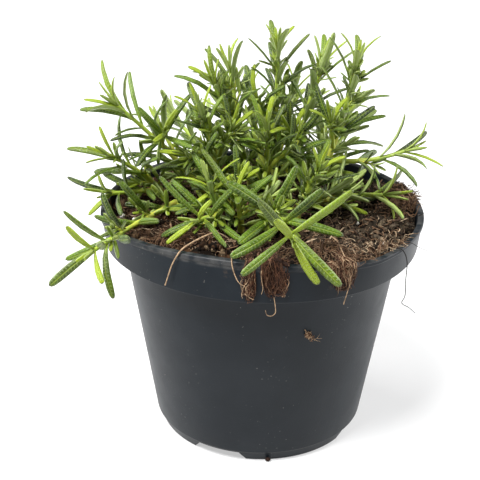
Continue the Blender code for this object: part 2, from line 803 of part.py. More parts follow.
def build_plant(name, plant, material):
    """Fuses a plant's side shoots and leaves to its rooted stem."""
    collection = new_collection(name + " parts")
    rooted, *sides = plant["paths"]
    entries = PLANTS[name]
    stem = add_object(name, tube(rooted, stem_radii(entries[0], rooted)), material)
    for number, (entry, path) in enumerate(zip(entries[1:], sides)):
        bm = tube(path, stem_radii(entry, path))
        add_object(f"{name} shoot {number}", bm, material, collection)
    for number, rows in enumerate(plant["leaves"]):
        add_object(f"{name} leaf {number}", blade(*rows), material, collection)
    apply_boolean(stem, collection, "UNION", "MANIFOLD")
    keep_outer_shell(stem)


def pebble(centre, radius, draw, squash=1.0):
    """A small rough lump."""
    bm = bmesh.new()
    bmesh.ops.create_icosphere(bm, subdivisions=1, radius=radius)
    for vert in bm.verts:
        vert.co *= draw.uniform(*PEBBLE_ROUGHNESS)
        vert.co.z *= squash
        vert.co += Vector(centre)
    return bm


def build_tuft(name, tuft, material):
    """A clod of peat on the soil with the roots that hang from it over the lip."""
    draw = random.Random(f"{STRAND_SEED} clod {name}")
    clod = add_object(name, pebble(clod_place(tuft), TUFT_CLOD, draw, 0.7), material)
    collection = new_collection(name + " parts")
    for number, (path, radii) in enumerate(strands(tuft, name)):
        add_object(f"{name} {number}", tube(path, radii, STRAND_SIDES), material, collection)
    apply_boolean(clod, collection, "UNION", "MANIFOLD")
    keep_outer_shell(clod)
    return clod


def build_grains(material):
    draw = random.Random(GRAIN_SEED)
    grains = []
    for number, (x, y, radius) in enumerate(GRAINS, 1):
        lump = pebble(grain_place(x, y, radius), radius * MM, draw)
        grains.append(add_object(f"perlite_{number}", lump, material))
    return grains


def surface(thing):
    corners = [vert.co for vert in thing.data.vertices]
    return BVHTree.FromPolygons(corners, [face.vertices for face in thing.data.polygons])


def drop_onto(thing, carriers):
    """Lifts a loose thing and lowers it until it lies on what is under it."""
    for vert in thing.data.vertices:
        vert.co.z += DROP_HEIGHT
    own, falls = surface(thing), []
    for carrier in carriers:
        under = surface(carrier)
        hits = [under.ray_cast(vert.co, -UP) for vert in thing.data.vertices]
        hits += [own.ray_cast(vert.co, UP) for vert in carrier.data.vertices]
        falls += [hit[3] for hit in hits if hit[0] is not None]
    thing.location.z -= min(falls) - FIT_GAP


def stand_on_origin():
    """Hangs everything on one empty, so that the box's bottom centre is the origin."""
    things = [thing for thing in bpy.data.objects if thing.type == "MESH"]
    bpy.context.view_layer.update()
    corners = np.array([thing.matrix_world @ vert.co for thing in things
                        for vert in thing.data.vertices])
    centre = (corners.min(0) + corners.max(0)) / 2
    holder = bpy.data.objects.new("potted_rosemary", None)
    bpy.context.scene.collection.objects.link(holder)
    holder.location = (-centre[0], -centre[1], 0)
    for thing in things:
        thing.parent = holder


def build():
    clear_scene()
    plastic = make_material("anthracite plastic", (0.045, 0.055, 0.065), 0.42)
    peat = make_material("peat", (0.10, 0.055, 0.032), 0.95)
    green = make_material("rosemary green", (0.16, 0.30, 0.07), 0.5)
    brown = make_material("dry root", (0.20, 0.11, 0.06), 0.9)
    white = make_material("perlite", (0.75, 0.73, 0.68), 0.9)
    plants = grow()
    pot = build_pot(plastic)
    soil = build_soil(peat, [plant["paths"][0][:2] for plant in plants.values()])
    for name, plant in plants.items():
        build_plant(name, plant, green)
    loose = [build_tuft(name, tuft, brown) for name, tuft in TUFTS.items()]
    loose += build_grains(white)
    for thing in loose:
        drop_onto(thing, (pot, soil))
    stand_on_origin()
    print("leaves", sum(len(plant["leaves"]) for plant in plants.values()))


build()
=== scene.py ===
# A young rosemary in a nursery pot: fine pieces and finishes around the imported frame.
# Pieces are modelled round the pot's own axis and then set on it; metres, +Z up.
import json
import math
import random

import bmesh
import bpy
import numpy as np
from mathutils import Matrix, Vector, noise

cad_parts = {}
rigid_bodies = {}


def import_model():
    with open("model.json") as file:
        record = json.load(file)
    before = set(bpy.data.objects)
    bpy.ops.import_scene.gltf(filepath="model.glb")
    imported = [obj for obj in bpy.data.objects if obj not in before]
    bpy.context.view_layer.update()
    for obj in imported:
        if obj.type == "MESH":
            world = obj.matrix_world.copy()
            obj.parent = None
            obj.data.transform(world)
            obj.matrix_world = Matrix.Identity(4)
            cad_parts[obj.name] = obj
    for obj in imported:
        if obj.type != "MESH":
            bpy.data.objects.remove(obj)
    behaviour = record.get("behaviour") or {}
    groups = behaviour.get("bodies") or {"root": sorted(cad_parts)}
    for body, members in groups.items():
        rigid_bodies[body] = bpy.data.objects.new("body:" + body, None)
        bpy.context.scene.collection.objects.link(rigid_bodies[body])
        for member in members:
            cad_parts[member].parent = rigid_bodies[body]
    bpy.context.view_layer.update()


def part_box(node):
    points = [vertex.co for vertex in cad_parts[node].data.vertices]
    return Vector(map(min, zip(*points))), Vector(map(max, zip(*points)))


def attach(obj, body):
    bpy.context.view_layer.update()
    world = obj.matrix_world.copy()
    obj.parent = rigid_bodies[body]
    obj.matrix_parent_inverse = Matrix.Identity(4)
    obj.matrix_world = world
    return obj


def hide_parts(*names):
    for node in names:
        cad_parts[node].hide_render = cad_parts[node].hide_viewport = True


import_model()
mm = 0.001
up = np.array((0.0, 0.0, 1.0))

potShape = {
    "height": 94 * mm,
    "rimRadius": 65 * mm,
    "lipWidth": 2.6 * mm,
    "lipThickness": 1.3 * mm,
    "lipOverhang": 0.6 * mm,
    "bandHeight": 12 * mm,
    "bandFootRadius": 63.2 * mm,
    "wallTopRadius": 56.2 * mm,
    "wallFootRadius": 43.6 * mm,
    "wallThickness": 1.2 * mm,
    "ringHeight": 4.3 * mm,
    "ringTopRadius": 42.9 * mm,
    "ringFootRadius": 41.2 * mm,
    "ringThickness": 1.5 * mm,
    "floorUnderside": 3.0 * mm,
    "floorThickness": 1.5 * mm,
    "chamfer": 0.5 * mm,
    "sides": 176,
    "filletSteps": 3,
    "waver": 0.12 * mm,         # how far the thin moulded wall strays from round
    "notchCount": 4,
    "notchFirst": math.radians(-22),
    "notchFoot": math.radians(33),
    "notchRoof": math.radians(24),
    "drainCount": 8,
    "drainCircle": 31 * mm,
    "drainRadius": 3.2 * mm,
    "drainCentreRadius": 4.0 * mm,
}

rimPress = {                    # the thin rim is pressed in and lifted a little here
    "centre": math.radians(-15),
    "halfWidth": math.radians(58),
    "inAtTop": 7 * mm,
    "inAtFoot": 2 * mm,
    "lift": 2.8 * mm,
    "fade": 25 * mm,
}

potLow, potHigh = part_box("pot")
potAxis = Vector(((potLow[0] + potHigh[0]) / 2, potHigh[1] - potShape["rimRadius"], 0))


def unit(vector):
    return vector / max(np.linalg.norm(vector), 1e-9)


def makeObject(name, mesh):
    thing = bpy.data.objects.new(name, mesh)
    bpy.context.scene.collection.objects.link(thing)
    return thing


def meshFrom(bm, name):
    mesh = bpy.data.meshes.new(name)
    bm.to_mesh(mesh)
    bm.free()
    return mesh


def dropObjects(things):
    for thing in list(things):
        bpy.data.objects.remove(thing, do_unlink=True)


# Sets a finished piece on the pot's axis and hands it to the frame
def dress(piece, slotName, *nodes):
    piece.data.transform(Matrix.Translation(potAxis))
    piece.data.update()
    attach(piece, "root")
    if nodes:
        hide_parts(*nodes)


# Node trees

def addNode(tree, kind, inputs=None, **settings):
    node = tree.nodes.new(kind)
    for name, value in settings.items():
        setattr(node, name, value)
    for name, value in (inputs or {}).items():
        if isinstance(value, bpy.types.NodeSocket):
            tree.links.new(value, node.inputs[name])
        else:
            node.inputs[name].default_value = value
    return node


def newTree(name, **sockets):
    tree = bpy.data.node_groups.new(name, "GeometryNodeTree")
    tree.interface.new_socket("Geometry", in_out="INPUT", socket_type="NodeSocketGeometry")
    for label, kind in sockets.items():
        tree.interface.new_socket(label, in_out="INPUT", socket_type="NodeSocket" + kind)
    tree.interface.new_socket("Geometry", in_out="OUTPUT", socket_type="NodeSocketGeometry")
    given = tree.nodes.new("NodeGroupInput").outputs
    result = tree.nodes.new("NodeGroupOutput").inputs["Geometry"]
    return tree, given, result


# Runs a tree on an object and gives its result back as a plain mesh object
def grown(name, source, tree, **values):
    modifier = source.modifiers.new("shape", "NODES")
    modifier.node_group = tree
    for item in tree.interface.items_tree:
        if item.in_out == "INPUT" and item.name in values:
            modifier[item.identifier] = values[item.name]
    bpy.context.view_layer.update()
    evaluated = source.evaluated_get(bpy.context.evaluated_depsgraph_get())
    mesh = bpy.data.meshes.new_from_object(evaluated)
    dropObjects([source])
    mesh.name = name
    return makeObject(name, mesh)


def attribute(tree, name, kind="FLOAT"):
    return addNode(tree, "GeometryNodeInputNamedAttribute", {"Name": name}, data_type=kind).outputs[0]


def geometryMath(tree, operation, a, b):
    return addNode(tree, "ShaderNodeMath", {0: a, 1: b}, operation=operation).outputs[0]


# Tubes along the polylines of a mesh, as thick as its "thick" attribute says
def addTubes(tree, lines, sides, smoothness, material):
    curve = addNode(tree, "GeometryNodeMeshToCurve", {"Mesh": lines}).outputs[0]
    curve = addNode(tree, "GeometryNodeCurveSplineType", {"Curve": curve},
                    spline_type="CATMULL_ROM").outputs[0]
    curve = addNode(tree, "GeometryNodeSetSplineResolution",
                    {"Geometry": curve, "Resolution": smoothness}).outputs[0]
    ring = addNode(tree, "GeometryNodeCurvePrimitiveCircle",
                   {"Resolution": sides, "Radius": 1.0}).outputs[0]
    tube = addNode(tree, "GeometryNodeCurveToMesh",
                   {"Curve": curve, "Profile Curve": ring, "Scale": attribute(tree, "thick"),
                    "Fill Caps": True}).outputs[0]
    return addNode(tree, "GeometryNodeSetMaterial",
                   {"Geometry": tube, "Material": material}).outputs[0]


def makeThreadTree():
    tree, given, result = newTree("threads", Sides="Int", Smoothness="Int", Material="Material")
    tubes = addTubes(tree, given["Geometry"], given["Sides"], given["Smoothness"], given["Material"])
    smooth = addNode(tree, "GeometryNodeSetShadeSmooth", {"Geometry": tubes}).outputs[0]
    tree.links.new(smooth, result)
    return tree


# Leaves at the loose points of a mesh and stems along its polylines
def makeRosemaryTree():
    tree, given, result = newTree("rosemary", Shapes="Collection", LeafWidth="Float",
                                  LeafThickness="Float", StemSides="Int", StemSmoothness="Int",
                                  LeafMaterial="Material", StemMaterial="Material")
    parted = addNode(tree, "GeometryNodeSeparateGeometry",
                     {"Geometry": given["Geometry"], "Selection": attribute(tree, "isLeaf", "BOOLEAN")},
                     domain="POINT").outputs
    shapes = addNode(tree, "GeometryNodeCollectionInfo",
                     {"Collection": given["Shapes"], "Separate Children": True,
                      "Reset Children": True}).outputs[0]
    turn = addNode(tree, "FunctionNodeAxesToRotation",
                   {"Primary Axis": attribute(tree, "heading", "FLOAT_VECTOR"),
                    "Secondary Axis": attribute(tree, "face", "FLOAT_VECTOR")},
                   primary_axis="Y", secondary_axis="Z").outputs[0]
    share = attribute(tree, "girth")
    size = addNode(tree, "ShaderNodeCombineXYZ",
                   {"X": geometryMath(tree, "MULTIPLY", share, given["LeafWidth"]),
                    "Y": attribute(tree, "reach"),
                    "Z": geometryMath(tree, "MULTIPLY", share, given["LeafThickness"])}).outputs[0]
    leaves = addNode(tree, "GeometryNodeInstanceOnPoints",
                     {"Points": parted[0], "Instance": shapes, "Pick Instance": True,
                      "Instance Index": attribute(tree, "shape", "INT"), "Rotation": turn,
                      "Scale": size}).outputs[0]
    leaves = addNode(tree, "GeometryNodeRealizeInstances", {"Geometry": leaves}).outputs[0]
    along = attribute(tree, "along")
    bow = geometryMath(tree, "MULTIPLY", along, geometryMath(tree, "SUBTRACT", 1.0, along))
    bow = geometryMath(tree, "MULTIPLY", bow, 2.0)
    bow = geometryMath(tree, "MULTIPLY", bow, attribute(tree, "arch"))
    offset = addNode(tree, "ShaderNodeVectorMath",
                     {0: attribute(tree, "face", "FLOAT_VECTOR"), "Scale": bow},
                     operation="SCALE").outputs[0]
    leaves = addNode(tree, "GeometryNodeSetPosition",
                     {"Geometry": leaves, "Offset": offset}).outputs[0]
    position = addNode(tree, "GeometryNodeInputPosition").outputs[0]
    twisted = addNode(tree, "ShaderNodeVectorRotate",
                      {"Vector": position, "Center": attribute(tree, "start", "FLOAT_VECTOR"),
                       "Axis": attribute(tree, "heading", "FLOAT_VECTOR"),
                       "Angle": geometryMath(tree, "MULTIPLY", along, attribute(tree, "twist"))},
                      rotation_type="AXIS_ANGLE").outputs[0]
    leaves = addNode(tree, "GeometryNodeSetPosition",
                     {"Geometry": leaves, "Position": twisted}).outputs[0]
    leaves = addNode(tree, "GeometryNodeSetMaterial",
                     {"Geometry": leaves, "Material": given["LeafMaterial"]}).outputs[0]
    stems = addTubes(tree, parted[1], given["StemSides"], given["StemSmoothness"],
                     given["StemMaterial"])
    joined = addNode(tree, "GeometryNodeJoinGeometry")
    tree.links.new(stems, joined.inputs[0])
    tree.links.new(leaves, joined.inputs[0])
    smooth = addNode(tree, "GeometryNodeSetShadeSmooth", {"Geometry": joined.outputs[0]}).outputs[0]
    tree.links.new(smooth, result)
    return tree


def randomNode(tree, kind, low, high, seed):
    first = {"FLOAT_VECTOR": 0, "FLOAT": 2, "INT": 4}[kind]
    node = addNode(tree, "FunctionNodeRandomValue", {first: low, first + 1: high, "Seed": seed},
                   data_type=kind)
    return node.outputs[first // 2]


# Small shapes strewn over a surface, each turned and sized at random
def makeScatterTree():
    tree, given, result = newTree("strewn", Shapes="Collection", Density="Float", Smallest="Float",
                                  Largest="Float", Tilt="Float", Seed="Int", Material="Material")
    spots = addNode(tree, "GeometryNodeDistributePointsOnFaces",
                    {"Mesh": given["Geometry"], "Density": given["Density"], "Seed": given["Seed"]})
    tint = randomNode(tree, "FLOAT", 0.0, 1.0, 3)
    points = addNode(tree, "GeometryNodeStoreNamedAttribute",
                     {"Geometry": spots.outputs["Points"], "Name": "tint", "Value": tint},
                     data_type="FLOAT", domain="POINT").outputs[0]
    tilt = given["Tilt"]
    low = addNode(tree, "ShaderNodeCombineXYZ",
                  {"X": geometryMath(tree, "MULTIPLY", tilt, -1.0),
                   "Y": geometryMath(tree, "MULTIPLY", tilt, -1.0), "Z": 0.0}).outputs[0]
    high = addNode(tree, "ShaderNodeCombineXYZ", {"X": tilt, "Y": tilt, "Z": math.tau}).outputs[0]
    turn = addNode(tree, "FunctionNodeEulerToRotation",
                   {"Euler": randomNode(tree, "FLOAT_VECTOR", low, high, 5)}).outputs[0]
    turn = addNode(tree, "FunctionNodeRotateRotation",
                   {"Rotation": spots.outputs["Rotation"], "Rotate By": turn},
                   rotation_space="LOCAL").outputs[0]
    size = randomNode(tree, "FLOAT", given["Smallest"], given["Largest"], 7)
    shapes = addNode(tree, "GeometryNodeCollectionInfo",
                     {"Collection": given["Shapes"], "Separate Children": True,
                      "Reset Children": True}).outputs[0]
    strewn = addNode(tree, "GeometryNodeInstanceOnPoints",
                     {"Points": points, "Instance": shapes, "Pick Instance": True,
                      "Instance Index": randomNode(tree, "INT", 0, 100, 9), "Rotation": turn,
                      "Scale": size}).outputs[0]
    strewn = addNode(tree, "GeometryNodeRealizeInstances", {"Geometry": strewn}).outputs[0]
    strewn = addNode(tree, "GeometryNodeSetMaterial",
                     {"Geometry": strewn, "Material": given["Material"]}).outputs[0]
    smooth = addNode(tree, "GeometryNodeSetShadeSmooth", {"Geometry": strewn}).outputs[0]
    tree.links.new(smooth, result)
    return tree


# Finishes

def newMaterial(name, **values):
    material = bpy.data.materials.new(name)
    material.use_nodes = True
    shader = material.node_tree.nodes["Principled BSDF"]
    for label, value in values.items():
        shader.inputs[label.replace("_", " ")].default_value = value
    return material, material.node_tree, shader


def objectPlace(tree):
    return addNode(tree, "ShaderNodeTexCoord").outputs["Object"]


def noiseValue(tree, place, scale, detail=3.0, roughness=0.55):
    return addNode(tree, "ShaderNodeTexNoise", {"Vector": place, "Scale": scale, "Detail": detail,
                                                "Roughness": roughness}).outputs["Fac"]


def cells(tree, place, scale, feature="F1"):
    return addNode(tree, "ShaderNodeTexVoronoi", {"Vector": place, "Scale": scale},
                   feature=feature).outputs[0]


def mathValue(tree, operation, a, b=0.0, clamp=False):
    return addNode(tree, "ShaderNodeMath", {0: a, 1: b}, operation=operation,
                   use_clamp=clamp).outputs[0]


# A value's step from 0 to 1 between two limits
def between(tree, value, low, high):
    return addNode(tree, "ShaderNodeMapRange", {"Value": value, "From Min": low, "From Max": high},
                   interpolation_type="SMOOTHSTEP").outputs[0]


def mixed(tree, share, a, b, blend="MIX"):
    node = addNode(tree, "ShaderNodeMix", {0: share}, data_type="RGBA", blend_type=blend)
    for socket, value in ((6, a), (7, b)):
        if isinstance(value, bpy.types.NodeSocket):
            tree.links.new(value, node.inputs[socket])
        else:
            node.inputs[socket].default_value = (*value, 1.0)
    return node.outputs[2]


def bump(tree, shader, height, distance, strength=1.0):
    node = addNode(tree, "ShaderNodeBump", {"Height": height, "Distance": distance,
                                            "Strength": strength})
    tree.links.new(node.outputs[0], shader.inputs["Normal"])


def attributeValue(tree, name):
    return addNode(tree, "ShaderNodeAttribute", attribute_name=name).outputs["Fac"]


plasticLook = {
    "dark": (0.0045, 0.0075, 0.0110),
    "light": (0.008, 0.0115, 0.0155),
    "dust": (0.20, 0.19, 0.175),
    "smudge": (0.085, 0.058, 0.040),
    # the last is painted shade for the small step where the foot ring meets the wall
    "paintedStepShade": (0.001, 0.001, 0.001),
}


def plasticFinish():
    look = plasticLook
    material, tree, shader = newMaterial("anthracite_plastic", Specular_IOR_Level=0.2)
    place = objectPlace(tree)
    cloud = noiseValue(tree, place, 38.0, 4.0)
    colour = mixed(tree, between(tree, cloud, 0.35, 0.7), look["dark"], look["light"])
    height = addNode(tree, "ShaderNodeSeparateXYZ", {0: place}).outputs["Z"]
    specks = mathValue(tree, "MULTIPLY", between(tree, noiseValue(tree, place, 900.0, 1.0), 0.70, 0.78),
                       between(tree, noiseValue(tree, place, 60.0, 2.0), 0.45, 0.7))
    colour = mixed(tree, mathValue(tree, "MULTIPLY", specks, 0.5), colour, look["dust"])
    nearTop = between(tree, height, 80 * mm, 93 * mm)
    smudges = between(tree, noiseValue(tree, place, 85.0, 5.0, 0.7), 0.60, 0.74)
    smudges = mathValue(tree, "MULTIPLY", smudges, nearTop)
    colour = mixed(tree, mathValue(tree, "MULTIPLY", smudges, 0.55), colour, look["smudge"])
    # painted shade: a dark line where the foot ring meets the wall, standing in for the shadow under the
    # small step
    offRingTop = mathValue(tree, "ABSOLUTE", mathValue(tree, "SUBTRACT", height, potShape["ringHeight"]))
    paintedStepShade = mathValue(tree, "MULTIPLY", between(tree, offRingTop, 0.45 * mm, 0.15 * mm), 0.8)
    colour = mixed(tree, paintedStepShade, colour, look["paintedStepShade"])
    onTop = between(tree, height, 93.2 * mm, 94.2 * mm)
    film = mathValue(tree, "MULTIPLY", onTop, between(tree, noiseValue(tree, place, 240.0), 0.3, 0.7))
    colour = mixed(tree, mathValue(tree, "MULTIPLY", film, 0.22), colour, look["dust"])
    tree.links.new(colour, shader.inputs["Base Color"])
    gloss = noiseValue(tree, place, 120.0, 4.0)
    rough = addNode(tree, "ShaderNodeMapRange", {"Value": gloss, "To Min": 0.36, "To Max": 0.50})
    tree.links.new(rough.outputs[0], shader.inputs["Roughness"])
    # fine drawing marks run up the wall and the skin is slightly pebbled
    drawn = addNode(tree, "ShaderNodeMapping", {"Vector": place, "Scale": (1.0, 1.0, 0.04)}).outputs[0]
    marks = noiseValue(tree, drawn, 700.0, 2.0)
    skin = mathValue(tree, "ADD", mathValue(tree, "MULTIPLY", marks, 0.5),
                     noiseValue(tree, place, 1500.0, 2.0))
    bump(tree, shader, skin, 0.05 * mm, 0.5)
    return material


peatLook = {
    # black is painted shade in the bed's hollows, and the dark tone of some crumbs
    "black": (0.004, 0.002, 0.0008),
    "brown": (0.062, 0.029, 0.012),
    "red": (0.15, 0.060, 0.020),
    "tan": (0.36, 0.27, 0.16),
    "grey": (0.095, 0.072, 0.048),
    "greySide": 30 * mm,        # dry grey peat lies to the right of here
}


def peatColour(tree, place, warm):
    look = peatLook
    side = addNode(tree, "ShaderNodeSeparateXYZ", {0: place}).outputs["X"]
    wander = mathValue(tree, "MULTIPLY", noiseValue(tree, place, 45.0), 60 * mm)
    side = mathValue(tree, "ADD", side, wander)
    grey = between(tree, side, look["greySide"], look["greySide"] + 45 * mm)
    base = mixed(tree, grey, look["red"] if warm else look["brown"], look["grey"])
    return base, grey


def peatFinish():
    look = peatLook
    material, tree, shader = newMaterial("peat", Roughness=0.95, Specular_IOR_Level=0.12)
    place = objectPlace(tree)
    base, grey = peatColour(tree, place, False)
    grain = noiseValue(tree, place, 420.0, 6.0, 0.7)
    # painted shade: where the clods' relief is low the bed is darkened towards black, broken up by a fine
    # grain
    lit = between(tree, attributeValue(tree, "relief"), -0.15, 0.4)
    lit = mathValue(tree, "MULTIPLY", lit, between(tree, grain, 0.38, 0.62))
    colour = mixed(tree, lit, look["black"], base)
    flecks = between(tree, noiseValue(tree, place, 950.0, 2.0), 0.62, 0.72)
    colour = mixed(tree, mathValue(tree, "MULTIPLY", flecks, 0.35), colour, look["tan"])
    tree.links.new(colour, shader.inputs["Base Color"])
    bump(tree, shader, mathValue(tree, "ADD", grain, noiseValue(tree, place, 1500.0)), 0.5 * mm)
    return material


def crumbFinish():
    look = peatLook
    material, tree, shader = newMaterial("peat_crumbs", Roughness=0.93, Specular_IOR_Level=0.15)
    place = objectPlace(tree)
    base, grey = peatColour(tree, place, False)
    tint = attributeValue(tree, "tint")
    colour = mixed(tree, between(tree, tint, 0.0, 0.8), look["black"], base)
    colour = mixed(tree, mathValue(tree, "MULTIPLY", between(tree, tint, 0.9, 1.0), 0.4), colour,
                   look["tan"])
    grain = noiseValue(tree, place, 1200.0, 4.0)
    colour = mixed(tree, between(tree, grain, 0.25, 0.7), look["black"], colour)
    tree.links.new(colour, shader.inputs["Base Color"])
    bump(tree, shader, grain, 0.4 * mm)
    return material


def fibreFinish(name, dark, pale, palest):
    material, tree, shader = newMaterial(name, Roughness=0.8, Specular_IOR_Level=0.25)
    place = objectPlace(tree)
    tint = attributeValue(tree, "tint")
    colour = mixed(tree, between(tree, tint, 0.0, 0.6), dark, pale)
    colour = mixed(tree, mathValue(tree, "MULTIPLY", between(tree, tint, 0.6, 1.0), 0.85), colour, palest)
    grain = noiseValue(tree, place, 800.0, 3.0)
    colour = mixed(tree, mathValue(tree, "MULTIPLY", between(tree, grain, 0.65, 0.3), 0.6), colour, dark)
    tree.links.new(colour, shader.inputs["Base Color"])
    bump(tree, shader, grain, 0.15 * mm)
    return material


leafLook = {
    "deep": (0.008, 0.024, 0.001),
    "fresh": (0.085, 0.155, 0.004),
    "young": (0.29, 0.38, 0.014),
    "groove": (0.30, 0.38, 0.05),
    # edge is a painted highlight along the rolled margins of the upper side
    "edge": (0.26, 0.32, 0.10),
    "ribs": 17,                 # pale lines across each side of the groove
    "under": (0.38, 0.46, 0.19),
    "underRib": (0.24, 0.34, 0.08),
    "tip": (0.035, 0.040, 0.015),
}


def leafFinish():
    look = leafLook
    material, tree, shader = newMaterial("rosemary_leaf", Roughness=0.36, Specular_IOR_Level=0.33,
                                         Subsurface_Weight=0.06, Subsurface_Scale=1.2 * mm)
    shader.inputs["Subsurface Radius"].default_value = (0.6, 1.0, 0.25)
    uv = addNode(tree, "ShaderNodeUVMap", uv_map="UVMap").outputs[0]
    parts = addNode(tree, "ShaderNodeSeparateXYZ", {0: uv}).outputs
    around, along = parts["X"], parts["Y"]
    youth, tint = attributeValue(tree, "youth"), attributeValue(tree, "tint")
    place = objectPlace(tree)
    cloud = mathValue(tree, "ADD", noiseValue(tree, place, 260.0, 2.0),
                      mathValue(tree, "MULTIPLY", mathValue(tree, "SUBTRACT", tint, 0.5), 0.55))
    top = mixed(tree, between(tree, cloud, 0.2, 0.85), look["deep"], look["fresh"])
    top = mixed(tree, between(tree, youth, 0.25, 1.0), top, look["young"])
    # the root end is paler, and a groove runs down the middle
    foot = mathValue(tree, "MULTIPLY", between(tree, along, 0.3, 0.0), 0.55)
    top = mixed(tree, foot, top, look["young"])
    offMiddle = mathValue(tree, "ABSOLUTE", mathValue(tree, "SUBTRACT", around, 0.25))
    groove = mathValue(tree, "MULTIPLY", between(tree, offMiddle, 0.035, 0.008), 0.6)
    top = mixed(tree, groove, top, look["groove"])
    # painted highlight: the upper side is paled towards its rolled edges
    edge = mathValue(tree, "MULTIPLY", between(tree, offMiddle, 0.19, 0.25), 0.45)
    top = mixed(tree, edge, top, look["edge"])
    slant = mathValue(tree, "SUBTRACT", along, mathValue(tree, "MULTIPLY", offMiddle, 0.12))
    waves = mathValue(tree, "SINE", mathValue(tree, "MULTIPLY", slant, math.tau * look["ribs"]))
    beside = mathValue(tree, "MULTIPLY", between(tree, offMiddle, 0.035, 0.06),
                       between(tree, offMiddle, 0.20, 0.14))
    ribs = mathValue(tree, "MULTIPLY", between(tree, waves, 0.2, 1.0), beside)
    top = mixed(tree, mathValue(tree, "MULTIPLY", ribs, 0.25), top, look["under"])
    # rows of fine pale blisters across the upper side
    grid = addNode(tree, "ShaderNodeCombineXYZ",
                   {"X": mathValue(tree, "MULTIPLY", around, 14.0),
                    "Y": mathValue(tree, "MULTIPLY", along, 24.0),
                    "Z": mathValue(tree, "MULTIPLY", tint, 40.0)}).outputs[0]
    blister = cells(tree, grid, 1.0)
    top = mixed(tree, mathValue(tree, "MULTIPLY", between(tree, blister, 0.45, 0.05), 0.2), top,
                look["under"])
    offRib = mathValue(tree, "ABSOLUTE", mathValue(tree, "SUBTRACT", around, 0.75))
    rib = between(tree, offRib, 0.05, 0.02)
    below = mixed(tree, rib, look["under"], look["underRib"])
    below = mixed(tree, mathValue(tree, "MULTIPLY", youth, 0.4), below, look["young"])
    side = mathValue(tree, "MULTIPLY", between(tree, around, 0.535, 0.56), between(tree, around, 0.965, 0.94))
    colour = mixed(tree, side, top, below)
    point = mathValue(tree, "MULTIPLY", between(tree, along, 0.95, 1.0), 0.7)
    colour = mixed(tree, point, colour, look["tip"])
    tree.links.new(colour, shader.inputs["Base Color"])
    relief = mathValue(tree, "SUBTRACT", 1.0, blister)
    relief = mathValue(tree, "SUBTRACT", relief, mathValue(tree, "MULTIPLY", groove, 2.0))
    relief = mathValue(tree, "ADD", relief, mathValue(tree, "MULTIPLY", ribs, 1.2))
    bump(tree, shader, relief, 0.16 * mm, 0.9)
    return material


stemLook = {
    "foot": (0.27, 0.23, 0.060),
    "middle": (0.46, 0.49, 0.065),
    "tip": (0.30, 0.41, 0.045),
    "fuzz": (0.62, 0.66, 0.34),
}


def stemFinish():
    look = stemLook
    material, tree, shader = newMaterial("rosemary_stem", Roughness=0.55, Subsurface_Weight=0.12,
                                         Subsurface_Scale=1.2 * mm)
    place = objectPlace(tree)
    youth = attributeValue(tree, "youth")
    colour = mixed(tree, between(tree, youth, 0.02, 0.25), look["foot"], look["middle"])
    colour = mixed(tree, between(tree, youth, 0.4, 0.95), colour, look["tip"])
    grain = noiseValue(tree, place, 520.0, 4.0)
    colour = mixed(tree, mathValue(tree, "MULTIPLY", between(tree, grain, 0.55, 0.75), 0.4), colour,
                   look["fuzz"])
    colour = mixed(tree, mathValue(tree, "MULTIPLY", between(tree, grain, 0.42, 0.25), 0.5), colour,
                   look["foot"])
    tree.links.new(colour, shader.inputs["Base Color"])
    bump(tree, shader, grain, 0.2 * mm, 0.7)
    return material


def perliteFinish():
    material, tree, shader = newMaterial("perlite", Roughness=0.9)
    place = objectPlace(tree)
    pits = cells(tree, place, 1600.0)
    colour = mixed(tree, between(tree, pits, 0.1, 0.6), (0.42, 0.38, 0.32), (0.78, 0.76, 0.71))
    stain = between(tree, noiseValue(tree, place, 500.0), 0.5, 0.7)
    colour = mixed(tree, mathValue(tree, "MULTIPLY", stain, 0.5), colour, (0.24, 0.17, 0.11))
    tree.links.new(colour, shader.inputs["Base Color"])
    bump(tree, shader, pits, 0.3 * mm)
    return material


# Pot

def pressShare(x, y):
    across = (math.atan2(x, -y) - rimPress["centre"]) / rimPress["halfWidth"]
    return (1 - across * across) ** 1.5 if abs(across) < 1 else 0.0


# Where a point of the round pot lies once its rim is pressed at the front left
def pressed(x, y, z):
    radius = math.hypot(x, y)
    share = pressShare(x, y)
    if share == 0 or radius < 1e-6:
        return x, y, z
    bandFoot = potShape["height"] - potShape["bandHeight"]
    upBand = min(max((z - bandFoot) / potShape["bandHeight"], 0.0), 1.0)
    below = min(max((bandFoot - z) / rimPress["fade"], 0.0), 1.0)
    inward = rimPress["inAtFoot"] * (1 - below) ** 2
    inward += (rimPress["inAtTop"] - rimPress["inAtFoot"]) * upBand
    nearWall = min(max((radius / potShape["rimRadius"] - 0.4) / 0.4, 0.0), 1.0)
    scale = 1 - share * inward * nearWall / radius
    return x * scale, y * scale, z + share * rimPress["lift"] * upBand * nearWall


# A profile of radius, height and fillet, with an arc of points at each filleted corner
def filleted(corners, steps):
    points = []
    for i, (radius, height, fillet) in enumerate(corners):
        here = np.array((radius, height))
        if not fillet:
            points.append(here)
            continue
        before = np.array(corners[i - 1][:2]) - here
        after = np.array(corners[i + 1][:2]) - here
        reach = min(fillet, 0.45 * np.linalg.norm(before), 0.45 * np.linalg.norm(after))
        start, end = here + unit(before) * reach, here + unit(after) * reach
        for t in np.linspace(0, 1, steps + 1):
            points.append((1 - t) ** 2 * start + 2 * t * (1 - t) * here + t * t * end)
    return points


def lathed(points, sides):
    bm = bmesh.new()
    verts = [bm.verts.new((radius, 0, height)) for radius, height in points]
    edges = [bm.edges.new(pair) for pair in zip(verts, verts[1:])]
    bmesh.ops.spin(bm, geom=verts + edges, cent=(0, 0, 0), axis=(0, 0, 1), angle=math.tau,
                   steps=sides, use_merge=True)
    bmesh.ops.remove_doubles(bm, verts=bm.verts, dist=0.005 * mm)
    bmesh.ops.recalc_face_normals(bm, faces=bm.faces)
    return bm


